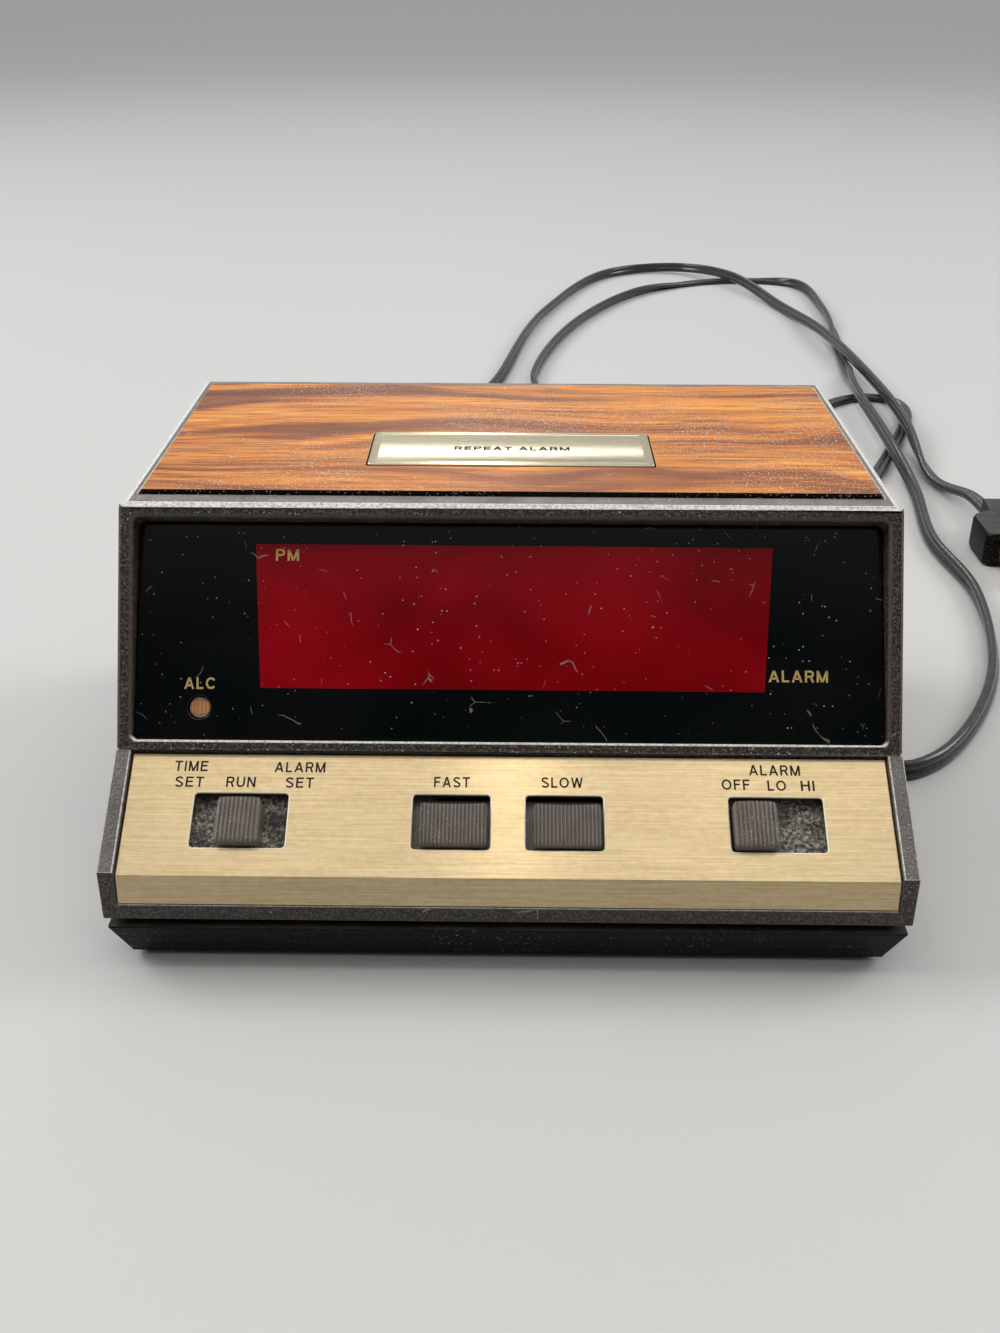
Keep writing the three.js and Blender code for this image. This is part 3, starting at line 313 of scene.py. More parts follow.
def brushed_gold(look, low, high):
    look.put("Metallic", 1.0)
    strokes = look.noise(look.place((55, 2600, 2600)), 1.0, 3.0, 0.65)
    mottle = look.noise(look.place((500, 900, 900)), 1.0, 3.0, 0.6)
    tone = look.ramp(look.mix(0.35, strokes, mottle), (0.36, low), (0.62, high))
    look.put("Base Color", dusted(look, tone, dots=0.2, seed=5.0, share=0.05))
    look.put("Roughness", look.ramp(look.mix(0.5, strokes, mottle), (0.35, 0.285), (0.65, 0.315)))
    look.put("Anisotropic", 0.85)
    tangent = look.node("ShaderNodeTangent", direction_type="RADIAL", axis="X")
    look.put("Tangent", tangent.outputs["Tangent"])
    look.bump(strokes, 0.008, 0.00001)


def gloss(look, dark, light):
    """The lens's polished face, with dust and lint on it."""
    cloud = look.noise(look.place((30, 45, 45)), 1.0, 2.0, 0.4, 0.6)
    tone = look.ramp(cloud, (0.32, dark), (0.72, light))
    look.put("Base Color", dusted(look, tone, dots=0.8, seed=6.0, fibres=0.45, share=0.065))
    look.put("Roughness", look.ramp(look.noise(look.place(), 90, 5.0), (0.35, 0.03), (0.75, 0.11)))
    look.bump(look.noise(look.place(), 12, 2.0), 0.02, 0.001)


def cord_vinyl(look):
    grain = look.noise(look.place(), 500, 4.0, 0.6)
    tone = look.ramp(grain, (0.3, (0.020, 0.0215, 0.021)), (0.7, (0.038, 0.040, 0.039)))
    look.put("Base Color", dusted(look, tone, dots=0.25, seed=7.0))
    look.put("Roughness", look.ramp(grain, (0.3, 0.16), (0.75, 0.30)))
    look.bump(grain, 0.08, 0.0001)


def plain_metal(look, low, high, scale=(400, 400, 2500)):
    look.put("Metallic", 1.0)
    grain = look.noise(look.place(scale), 1.0, 4.0, 0.6)
    look.put("Base Color", look.ramp(grain, (0.3, low), (0.7, high)))
    look.put("Roughness", look.ramp(grain, (0.3, look.roughness * 0.75), (0.7, look.roughness * 1.3)))
    look.bump(grain, 0.12, 0.00005)


def plain_matter(look, low, high, scale=900):
    grain = look.noise(look.place(), scale, 4.0, 0.6)
    look.put("Base Color", look.ramp(grain, (0.3, low), (0.7, high)))
    look.put("Roughness", look.ramp(grain, (0.3, look.roughness * 0.8), (0.7, look.roughness * 1.2)))
    look.bump(grain, 0.15, 0.00006)


def copper_winding(look):
    look.put("Metallic", 1.0)
    waves = {"Vector": look.place(), "Scale": 620.0}
    turns = look.node("ShaderNodeTexWave", waves, bands_direction="Z").outputs["Fac"]
    look.put("Base Color", look.ramp(turns, (0.2, (0.20, 0.07, 0.025)), (0.8, (0.66, 0.30, 0.13))))
    look.bump(turns, 0.6, 0.0002)


def circuit_board(look):
    inputs = {
        "Vector": look.place(), "Scale": 90.0, "Mortar Size": 0.09, "Mortar": (0.36, 0.30, 0.12, 1),
        "Color1": (0.22, 0.17, 0.07, 1), "Color2": (0.25, 0.19, 0.08, 1),
    }
    tracks = look.node("ShaderNodeTexBrick", inputs)
    grain = look.noise(look.place(), 1200, 3.0)
    stain = look.ramp(grain, (0.3, 0.0), (0.7, 0.3))
    look.put("Base Color", look.mix(stain, tracks.outputs["Color"], (0.16, 0.12, 0.05)))
    look.bump(tracks.outputs["Fac"], 0.3, 0.0001)


def dusty_plastic(look):
    """Dark plastic deep in the slots, grey with settled grit."""
    grit = look.noise(look.place(), 1300, 5.0, 0.75)
    tone = look.ramp(
        grit,
        (0.38, (0.024, 0.021, 0.018)),
        (0.50, (0.19, 0.176, 0.148)),
        (0.62, (0.66, 0.63, 0.54)),
    )
    drift = look.ramp(look.noise(look.place((160, 160, 160)), 1.0, 3.0), (0.32, 0.15), (0.52, 1.0))
    tone = look.mix(drift, (0.022, 0.020, 0.018), tone)
    look.put("Base Color", dusted(look, tone, dots=0.85, seed=8.0, fibres=0.5))
    look.bump(grit, 0.7, 0.0003)


def ink(look, color):
    look.put("Base Color", (*color, 1))
    wear = look.noise(look.place(), 2500, 3.0, 0.7)
    worn = tuple(min(1.0, c * 1.8 + 0.01) for c in color)
    look.put("Base Color", look.ramp(wear, (0.55, color), (0.85, worn)))
    look.put("Specular IOR Level", 0.15)
    look.bump(wear, 0.1, 0.00002)


RECIPES = [  # name, roughness, how it is made, and what with
    ("brown_plastic", 0.5, brown_plastic),
    ("knob_plastic", 0.42, knob_plastic),
    ("black_plastic", 0.38, black_plastic),
    ("black_rubber", 0.75, black_rubber),
    ("wood_laminate", 0.42, wood_laminate),
    ("gold_metal", 0.3, brushed_gold, (0.49, 0.375, 0.208), (0.66, 0.525, 0.322)),
    ("gold_plate", 0.3, brushed_gold, (0.58, 0.52, 0.37), (0.70, 0.65, 0.48)),
    # Rounded housing edges: painted highlight and dust.
    ("dusty_edge", 0.6, dusty_edge),
    ("lens_acrylic", 0.05, gloss, (0.0016, 0.0030, 0.0032), (0.0050, 0.0064, 0.0062)),
    ("lens_red", 0.05, gloss, (0.200, 0.0005, 0.0020), (0.380, 0.0022, 0.010)),
    ("cord_vinyl", 0.3, cord_vinyl),
    ("steel", 0.35, plain_metal, (0.42, 0.42, 0.43), (0.62, 0.62, 0.62)),
    ("brass", 0.28, plain_metal, (0.55, 0.42, 0.20), (0.74, 0.60, 0.33), (900, 300, 900)),
    ("copper_wire", 0.3, copper_winding),
    ("circuit_board", 0.45, circuit_board),
    ("dusty_plastic", 0.75, dusty_plastic),
    ("black_ink", 0.6, ink, (0.012, 0.011, 0.010)),
    ("gold_ink", 0.6, ink, (0.60, 0.42, 0.16)),
    # Near white and not metallic: a painted highlight on the slot rims, over the cut metal.
    ("cut_metal", 0.3, plain_matter, (0.90, 0.83, 0.64), (1.0, 0.96, 0.82), 2500),
    ("digit_plastic", 0.35, plain_matter, (0.10, 0.08, 0.08), (0.16, 0.13, 0.12)),
    ("led_red", 0.2, plain_matter, (0.22, 0.006, 0.006), (0.35, 0.012, 0.01)),
    ("ceramic", 0.5, plain_matter, (0.60, 0.54, 0.45), (0.72, 0.66, 0.57)),
    ("speaker_paper", 0.9, plain_matter, (0.03, 0.026, 0.024), (0.06, 0.053, 0.048), 1600),
    ("sleeve_blue", 0.35, plain_matter, (0.015, 0.05, 0.12), (0.025, 0.075, 0.17)),
    ("sensor_face", 0.4, plain_matter, (0.30, 0.17, 0.12), (0.52, 0.36, 0.28), 2500),
    ("photocell_track", 0.4, plain_matter, (0.66, 0.22, 0.06), (0.85, 0.36, 0.13), 3000),
]


def make_materials():
    looks = {}
    for name, roughness, dress, *values in RECIPES:
        look = Look(name, roughness)
        dress(look, *values)
        looks[name] = look.material
    return looks


# ---- mesh tools ----
SMOOTH_ANGLE = math.radians(34)


def give_materials(mesh, material):
    for part in material if isinstance(material, list) else [material]:
        mesh.materials.append(part)


def new_piece(name, mesh, material, slot, node=None, body=CLOCK_SHELL, smooth=True):
    """An object that rides body. With node, it replaces that CAD node and rides the node's body."""
    piece = new_object(name, mesh)
    if not mesh.materials:
        give_materials(mesh, material)
    if smooth:
        mesh.shade_smooth()
        mesh.set_sharp_from_angle(angle=SMOOTH_ANGLE)
    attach(piece, body_of[node] if node else body)
    if node:
        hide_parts(node)
    return piece


def mesh_from(name, points, faces):
    mesh = bpy.data.meshes.new(name)
    mesh.from_pydata([tuple(point) for point in points], [], faces)
    mesh.validate()
    work = bmesh.new()
    work.from_mesh(mesh)
    bmesh.ops.recalc_face_normals(work, faces=work.faces)
    work.to_mesh(mesh)
    work.free()
    return mesh


def solid_copy(node):
    """A CAD node's mesh with its flat faces whole again, in a bmesh."""
    work = bmesh.new()
    work.from_mesh(frame["nodes"][node].data)
    bmesh.ops.remove_doubles(work, verts=work.verts, dist=0.002 * MM)
    bmesh.ops.dissolve_limit(work, angle_limit=math.radians(0.6), verts=work.verts, edges=work.edges)
    return work


ROOM_SHARE = 0.45  # of the space to the next edge
SHALLOW = math.radians(15)  # an edge that leaves at less than this counts as leaving at this
ROUNDED_ANGLE = math.radians(25)  # between the faces of an edge that is rounded


def room(edge, chosen):
    """How wide in mm an edge can be rounded before it meets the next one."""
    spaces = [1]
    for vert in edge.verts:
        corner = sum(other in chosen for other in vert.link_edges) > 2
        along = edge.other_vert(vert).co - vert.co
        for other in vert.link_edges:
            if other != edge and (corner or other not in chosen):
                side = other.other_vert(vert).co - vert.co
                spaces.append(side.length * math.sin(max(side.angle(along), SHALLOW)))
    return ROOM_SHARE * min(spaces) / MM


def refined(node, material, slot, width=0.3, segments=2, widths=None, work=None, edged=None):
    """A CAD node again with rounded edges. widths gives an edge's own width in mm from its middle.

    edged says which faces take the second material, from a face's middle and normal and whether
    it is one of the rounded edges.
    """
    work = work or solid_copy(node)
    weights = work.edges.layers.float.new("bevel_weight_edge")
    between = [edge for edge in work.edges if len(edge.link_faces) == 2]
    chosen = {edge for edge in between if edge.calc_face_angle(0) > ROUNDED_ANGLE}
    own = {}
    for edge in chosen:
        wanted = widths((edge.verts[0].co + edge.verts[1].co) / 2 / MM, edge) if widths else width
        own[edge] = min(wanted, room(edge, chosen))
    widest = max(own.values())
    for edge, wide in own.items():
        edge[weights] = wide / widest
        edge.smooth = wide > 0
    mesh = bpy.data.meshes.new(node + "_fine")
    work.to_mesh(mesh)
    work.free()
    mesh.shade_smooth()
    give_materials(mesh, material)
    rough = new_object("rough", mesh)
    bevel = rough.modifiers.new("bevel", "BEVEL")
    bevel.width = widest * MM
    bevel.segments = segments
    bevel.limit_method = "WEIGHT"
    bevel.miter_outer = "MITER_ARC"
    bevel.use_clamp_overlap = False
    bevel.material = 1 if edged else -1
    flat = rough.modifiers.new("flat", "WEIGHTED_NORMAL")
    flat.weight = 100
    flat.keep_sharp = True
    shaped = rough.evaluated_get(bpy.context.evaluated_depsgraph_get())
    done = bpy.data.meshes.new_from_object(shaped)
    done.name = mesh.name
    if edged:
        for face in done.polygons:
            rounded = face.material_index == 1
            face.material_index = int(edged(face.center / MM, face.normal, rounded))
    bpy.data.objects.remove(rough)
    bpy.data.meshes.remove(mesh)
    new_piece(node + "_fine", done, material, slot, node, smooth=False)


def tilted(place, lean):
    """The frame of a sloping face: X across, Y up the slope, Z out of it."""
    return Matrix.Translation(mm(0, *place)) @ Matrix.Rotation(lean, 4, "X")


# ---- the two sloping faces ----
DECK_FOLD = (-66.4, 22.7)  # the fascia's fold, as [y, z]
DECK_TOP = (-43.7, 37.3)
DECK = tilted(DECK_FOLD, math.atan2(DECK_TOP[1] - DECK_FOLD[1], DECK_TOP[0] - DECK_FOLD[0]))
LENS_INSET = 0.3  # between the lens's edge and its opening


def lens_frame():
    """The lens's frame, measured on the CAD lens: the origin is at its opening's lower edge."""
    points = [v.co / MM for v in frame["nodes"]["display_lens"].data.vertices]
    low = min(points, key=lambda p: p.y)
    high = max(points, key=lambda p: p.z)
    lean = math.atan2(high.z - low.z, high.y - low.y)
    y = low.y - LENS_INSET * math.cos(lean)
    z = low.z - LENS_INSET * math.sin(lean)
    return tilted((y, z), lean)


LENS = lens_frame()


# ---- cord ----
STRAND = 2.8  # thickness of the flat cord
CORD_WIDTH = 5.5
CORD_STEP = 3.5
LAID = STRAND / 2  # height of the cord's middle where it lies flat
OVER = LAID + STRAND + 0.3  # and where it lies on another stretch
CORD_EXIT = (50, 92.8, 23)
PLUG_X, PLUG_REAR_Y, PLUG_Z = 172, 172, 6.2
ROUTE = [  # x, y and height, which is LAID where it is left out
    CORD_EXIT, (50, 102.8, 23), (53, 126, 12), (62, 158), (138, 306), (150, 319.5), (163, 325),
    (173, 320.5), (176, 309), (171.5, 287), (158, 254), (128, 184), (90, 56), (86.3, 21),
    (89.9, 10), (99.5, 5.8), (109.5, 10.5), (124, 28), (140, 61), (150, 112), (147.5, 155),
    (154, 205), (155, 248, OVER), (157.5, 324, OVER), (166, 395), (175, 490), (168, 553),
    (128, 561), (79, 533), (37, 461), (10, 350), (14.5, 306), (10.4, 294.6), (0, 290),
    (-10.4, 294.6), (-14.5, 306), (-6, 350), (18, 480), (62, 578), (103, 588, LAID + 1),
    (131, 557, OVER), (152, 492), (163, 420, OVER), (169, 322, OVER), (168, 274, OVER), (165, 218),
    (171, 190, PLUG_Z - 0.6), (PLUG_X, PLUG_REAR_Y + 0.3, PLUG_Z),
]
# How far the flat cord has turned about itself, in degrees, at distances along it in mm.
TURNS = [
    (0, 0), (80, 0), (160, 75), (240, 180), (380, 180), (450, 255), (560, 285), (700, 250),
    (800, 290), (970, 270), (1010, 360), (1034, 360), (1095, 430), (1170, 460), (1212, 540),
    (1244, 540), (1300, 610), (1480, 640), (1640, 600), (1760, 650), (1900, 625), (2000, 600),
    (2100, 640), (2250, 630), (2312, 720), (2400, 720),
]


def smooth_line(corners, step):
    """Centripetal Catmull-Rom curve through the corners, as points about step apart."""
    knots = [corners[0] * 2 - corners[1], *corners, corners[-1] * 2 - corners[-2]]
    line = []
    for a, b, c, d in zip(knots, knots[1:], knots[2:], knots[3:]):
        t1 = (b - a).length ** 0.5
        t2 = t1 + (c - b).length ** 0.5
        t3 = t2 + (d - c).length ** 0.5
        count = max(2, round((c - b).length / step))
        for i in range(count):
            t = t1 + (t2 - t1) * i / count
            ab = a.lerp(b, t / t1)
            bc = b.lerp(c, (t - t1) / (t2 - t1))
            cd = c.lerp(d, (t - t2) / (t3 - t2))
            abc = ab.lerp(bc, t / t2)
            bcd = bc.lerp(cd, (t - t1) / (t3 - t1))
            line.append(abc.lerp(bcd, (t - t1) / (t2 - t1)))
    return [*line, corners[-1]]


def smooth_step(value):
    value = min(1.0, max(0.0, value))
    return value * value * (3 - 2 * value)


def turned_at(along):
    for (start, low), (end, high) in zip(TURNS, TURNS[1:]):
        if along <= end:
            break
    return low + (high - low) * smooth_step((along - start) / (end - start))


def cord_section():
    """The flat twin cord's outline, as (across, thick): two round strands and the web between."""
    radius = STRAND / 2
    centre = CORD_WIDTH / 2 - radius
    arc = [math.radians(angle) for angle in range(-120, 121, 24)]
    right = [(centre + radius * math.cos(a), radius * math.sin(a)) for a in arc]
    web = radius * 0.62
    return [*right, (0, web), *[(-x, -y) for x, y in right], (0, -web)]


def cord_line():
    """The cord's centre line and its turn about itself, point by point."""
    line = smooth_line([Vector((*point, LAID)[:3]) for point in ROUTE], CORD_STEP)
    half_width = CORD_WIDTH / 2 - STRAND / 2
    placed, turns = [], []
    along = 0.0
    for i, point in enumerate(line):
        if i:
            along += (point - line[i - 1]).length
        turn = math.radians(turned_at(along))
        on_edge = half_width * abs(math.sin(turn))
        placed.append(Vector((point.x, point.y, max(point.z, LAID) + on_edge)) * MM)
        turns.append(turn)
    return placed, turns


def tube_faces(rings, count):
    """The faces of a closed tube through rings of count points each."""
    faces = []
    for low in range(0, (rings - 1) * count, count):
        for k in range(count):
            n = (k + 1) % count
            faces.append((low + k, low + n, low + count + n, low + count + k))
    return [*faces, tuple(reversed(range(count))), tuple(range((rings - 1) * count, rings * count))]


def swept(name, line, turns, section):
    """A closed mesh: section carried along line, level at a turn of 0."""
    points = []
    for i, place in enumerate(line):
        ahead = (line[min(i + 1, len(line) - 1)] - line[max(i - 1, 0)]).normalized()
        across = ahead.cross(Vector((0, 0, 1))).normalized()
        thick = across.cross(ahead)
        roll = Matrix.Rotation(turns[i], 3, ahead)
        across, thick = roll @ across, roll @ thick
        points += [place + across * (x * MM) + thick * (y * MM) for x, y in section]
    return mesh_from(name, points, tube_faces(len(line), len(section)))


def make_cord(looks):
    """The cord's piece, and its centre line."""
    line, turns = cord_line()
    mesh = swept("flat_cord", line, turns, cord_section())
    return new_piece("flat_cord", mesh, looks["cord_vinyl"], "cord_vinyl", "power_cord"), line


# ---- shaped pieces ----
def grid_cap(frame_of, x, up, columns, rows, base, corner):
    """A closed cap over a grid. columns and rows are (offset, height) pairs; heights add up."""
    half, reach = columns[-1][0], rows[-1][0]
    points, footing = [], []
    for along, rise in rows:
        limit = half - max(0.0, abs(along) - (reach - corner))
        for across, high in columns:
            across = max(-limit, min(limit, across))
            points.append(frame_of @ mm(x + across, up + along, high + rise))
            footing.append(frame_of @ mm(x + across, up + along, base))
    wide, tall = len(columns), len(rows)
    faces = [
        (r * wide + c, r * wide + c + 1, (r + 1) * wide + c + 1, (r + 1) * wide + c)
        for r in range(tall - 1)
        for c in range(wide - 1)
    ]
    rim = [*range(wide), *(r * wide + wide - 1 for r in range(1, tall))]
    rim += [(tall - 1) * wide + c for c in reversed(range(wide - 1))]
    rim += [r * wide for r in reversed(range(1, tall - 1))]
    foot, count = len(points), len(rim)
    points += [footing[index] for index in rim]
    for k in range(count):
        faces.append((rim[k], foot + k, foot + (k + 1) % count, rim[(k + 1) % count]))
    faces.append(tuple(foot + k for k in reversed(range(count))))
    return points, faces


RIB = [(0.0, 0.95), (0.12, 0.9), (0.26, 0.2), (0.36, 0.0), (0.64, 0.0), (0.74, 0.2), (0.88, 0.9)]


def rib_columns(width, ribs, depth, crown):
    """(offset, height) across a ribbed face. crown gives the face's own height at -1 to 1."""
    pitch = width / ribs
    columns = []
    for rib in range(ribs):
        for share, fall in RIB:
            offset = -width / 2 + (rib + share) * pitch
            columns.append((offset, crown(2 * offset / width) - fall * depth))
    columns.append((width / 2, crown(1) - 0.95 * depth))
    return columns


def end_rows(height, rounding, count=16):
    """(offset, height) up a face that is level but for its rounded ends."""
    rows = []
    for i in range(count + 1):
        share = math.sin(math.pi / 2 * (2 * i / count - 1))
        rows.append((share * height / 2, -rounding * abs(share) ** 16))
    return rows


def rounded_outline(width, height, radius, segments=5):
    points = []
    for corner, (side, end) in enumerate(((1, -1), (1, 1), (-1, 1), (-1, -1))):
        for i in range(segments + 1):
            angle = math.pi / 2 * (corner - 1 + i / segments)
            x = side * (width / 2 - radius) + radius * math.cos(angle)
            y = end * (height / 2 - radius) + radius * math.sin(angle)
            points.append((x, y))
    return points


def stacked(frame_of, x, up, rings):
    """A closed body through rounded outlines: rings are (width, height, radius, out)."""
    points = []
    for *size, out in rings:
        points += [frame_of @ mm(x + a, up + b, out) for a, b in rounded_outline(*size)]
    return points, tube_faces(len(rings), len(points) // len(rings))


def joined(*solids):
    """Several (points, faces) as one."""
    points, faces = [], []
    for some_points, some_faces in solids:
        start = len(points)
        points += some_points
        faces += [tuple(start + index for index in face) for face in some_faces]
    return points, faces


SLOT_CENTRE = 12.15  # up the deck
SLIDE_SLOT_X = 55.2
BUTTON_SLOT_X = 11.65
DECK_UNDER = -2.9
SHUTTER_TOP = DECK_UNDER - 0.3
SHUTTER_UNDER = SHUTTER_TOP - 1
KNOB_WIDTH, KNOB_HEIGHT, KNOB_OUT = 8.9, 10, 2.35
KNOB_STEP = 4.65  # from one place of a knob to the next
BUTTON_WIDTH, BUTTON_HEIGHT, BUTTON_OUT = 12.6, 9.2, 1.15


def cap_piece(node, solid, looks):
    mesh = mesh_from(node, *solid)
    new_piece(node + "_cap", mesh, looks["knob_plastic"], "knob_plastic", node)


def slide_knob(name, x, looks):
    """A crowned, ribbed cap, and under it the shutter that closes the slot."""
    columns = rib_columns(KNOB_WIDTH, 10, 0.4, lambda side: -0.45 * side ** 2)
    rows = [(along, rise + KNOB_OUT) for along, rise in end_rows(KNOB_HEIGHT, 0.35)]
    cap_piece(name, grid_cap(DECK, x, SLOT_CENTRE - 0.6, columns, rows, SHUTTER_TOP, 0.6), looks)
    plate = stacked(DECK, x, SLOT_CENTRE, [
        (31, 14.1, 0.6, SHUTTER_UNDER),
        (31, 14.1, 0.6, SHUTTER_TOP - 0.15),
        (30.7, 13.8, 0.5, SHUTTER_TOP),
    ])
    mesh = mesh_from(name + "_shutter", *plate)
    new_piece(mesh.name, mesh, looks["dusty_plastic"], "knob_plastic", body=body_of[name])


def push_button(name, slot_x, looks):
    """A ribbed cap dished from side to side, on its flange and stem."""
    x, up = slot_x + 0.5, SLOT_CENTRE - 0.95
    columns = rib_columns(BUTTON_WIDTH, 16, 0.42, lambda side: 0.55 * side ** 2)
    columns = [(-6.8, 0.25), (-6.62, 0.55), *columns, (6.62, 0.55), (6.8, 0.25)]
    rows = [(along, rise + BUTTON_OUT) for along, rise in end_rows(BUTTON_HEIGHT, 0.3)]
    cap = grid_cap(DECK, x, up, columns, rows, SHUTTER_TOP, 0.4)
    flange = stacked(DECK, x, up, [(17.6, 13.8, 0.5, SHUTTER_UNDER), (17.6, 13.8, 0.5, SHUTTER_TOP)])
    stem = [(3.2, 3.2, 1.55, out) for out in (-5.8, SHUTTER_UNDER)]
    stem = stacked(DECK, slot_x, SLOT_CENTRE, stem)
    cap_piece(name, joined(cap, flange, stem), looks)


def top_frame():
    """The frame of the repeat bar's plate: X and Y across it, Z up from its upper face."""
    low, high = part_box("repeat_bar_plate")
    return Matrix.Translation(Vector(((low.x + high.x) / 2, (low.y + high.y) / 2, high.z)))


def bar_plate(looks):
    """The brushed plate of the repeat bar, with a raised line round it."""
    low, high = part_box("repeat_bar_plate")
    width, length = (high.x - low.x) / MM, (high.y - low.y) / MM
    line = 1.15  # inset of the raised line
    rings = [
        (-0.2, -0.5), (-0.2, -0.17), (-0.1, -0.05), (0.1, -0.04), (line, -0.04),
        (line + 0.1, 0.05), (line + 0.45, 0.05), (line + 0.55, -0.04),
    ]
    solid = stacked(top_frame(), 0, 0, [
        (width - 2 * inset, length - 2 * inset, max(0.9 - inset * 0.4, 0.25), out)
        for inset, out in rings
    ])
    mesh = mesh_from("repeat_bar_face", *solid)
    new_piece(mesh.name, mesh, looks["gold_plate"], "gold_metal", "repeat_bar_plate")


def turned(profile, place, axis, steps=40):
    """A closed body of revolution. profile is (radius, height) from the axis to the axis."""
    points, faces, ring_of = [], [], []
    circle = [2 * math.pi * k / steps for k in range(steps)]
    for radius, height in profile:
        if radius == 0:
            ring_of.append([len(points)] * steps)
            points.append(Vector((0, 0, height)))
        else:
            ring_of.append([len(points) + k for k in range(steps)])
            points += [Vector((radius * math.cos(a), radius * math.sin(a), height)) for a in circle]
    for low, high in zip(ring_of, ring_of[1:]):
        for k in range(steps):
            n = (k + 1) % steps
            face = [low[k], low[n], high[n], high[k]]
            face = [v for i, v in enumerate(face) if v != face[i - 1]]
            if len(face) > 2:
                faces.append(tuple(face))
    turn = Vector((0, 0, 1)).rotation_difference(Vector(axis)).to_matrix().to_4x4()
    return [Matrix.Translation(place) @ turn @ (p * MM) for p in points], faces


BACK_WALL = 67.5
SLEEVE_GRIP = [  # the part in and round the back wall, as (radius, distance out of the wall)
    (0, -4.9), (6.4, -4.9), (6.6, -4.6), (6.6, -2.8), (5.0, -2.8),
    (5.0, 0.3), (6.6, 0.3), (6.6, 1.9), (6.1, 2.4), (4.7, 2.7),
]
SLEEVE_TIP = [(3.3, 23.4), (3.2, 24.7), (2.9, 25.0), (0, 25.0)]
SLEEVE_RINGS = 6
RING_PITCH = 3.1


def strain_relief(looks):
    """The rubber sleeve at the back: a flange against the wall, then a ringed taper."""
    low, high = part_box("strain_relief")
    centre = Vector(((low.x + high.x) / 2, BACK_WALL * MM, (low.z + high.z) / 2))
    profile = list(SLEEVE_GRIP)
    for ring in range(SLEEVE_RINGS):
        start = 4.2 + ring * RING_PITCH
        radius = 4.55 - ring * 0.2
        groove = radius - 0.9
        profile += [(radius, start), (groove, start + 0.3)]
        profile += [(groove, start + 1.2), (radius - 0.15, start + 1.5)]
    solid = turned([*profile, *SLEEVE_TIP], centre, (0, 1, 0))
    mesh = mesh_from("strain_relief_sleeve", *solid)
    new_piece(mesh.name, mesh, looks["black_rubber"], "black_rubber", "strain_relief")


PHOTOCELL_AT = (-65.4, 6.9)
PHOTOCELL_FACE = -0.75  # its front, behind the lens's
PHOTOCELL_RINGS = [(4.6, -3.6), (4.6, -1.0), (4.35, PHOTOCELL_FACE)]  # diameter and height
TRACK_BARS = 5
TRACK_PITCH = 0.8
TRACK_WIDTH = 0.46
TRACK_REACH = 1.45


def photocell_window(looks):
    """The light sensor's face in the lens's hole, with its winding track."""
    x, up = PHOTOCELL_AT
    disc = stacked(LENS, x, up, [(wide, wide, wide / 2, out) for wide, out in PHOTOCELL_RINGS])
    face = mesh_from("photocell_face", *disc)
    new_piece("photocell_face", face, looks["sensor_face"], "ceramic")
    foot = PHOTOCELL_FACE - 0.05
    solids = []
    for i in range(TRACK_BARS):
        side = (i - (TRACK_BARS - 1) / 2) * TRACK_PITCH
        tall = 2 * (TRACK_REACH - 0.12 * side ** 2)
        ring = (TRACK_WIDTH, tall, 0.1)
        solids.append(stacked(LENS, x + side, up, [(*ring, foot), (*ring, PHOTOCELL_FACE + 0.08)]))
        if i < TRACK_BARS - 1:
            end = up + (TRACK_REACH - 0.4) * (1 if i % 2 else -1)
            ring = (TRACK_PITCH, 0.3, 0.1)
            rings = [(*ring, foot), (*ring, PHOTOCELL_FACE + 0.07)]
            solids.append(stacked(LENS, x + side + TRACK_PITCH / 2, end, rings))
    mesh = mesh_from("photocell_track", *joined(*solids))
    new_piece("photocell_track", mesh, looks["photocell_track"], "ceramic")


# ---- lettering ----
STROKE = 0.165  # of the capitals' height
HALF = STROKE / 2


def arc(x, y, across, up, start, end, steps=12):
    angles = [math.radians(start + (end - start) * i / steps) for i in range(steps + 1)]
    return [(x + across * math.cos(a), y + up * math.sin(a)) for a in angles]


def upright(x, top=1.0):
    return [(x, 0), (x, top)]


BOWL = [(HALF, 1 - HALF), *arc(0.41, 0.705, 0.21, 0.2225, 90, -90), (HALF, 0.4825)]
SPINE = [*arc(0.36, 0.735, 0.265, 0.1925, 18, 200), *arc(0.36, 0.265, 0.285, 0.1925, 30, -162)]
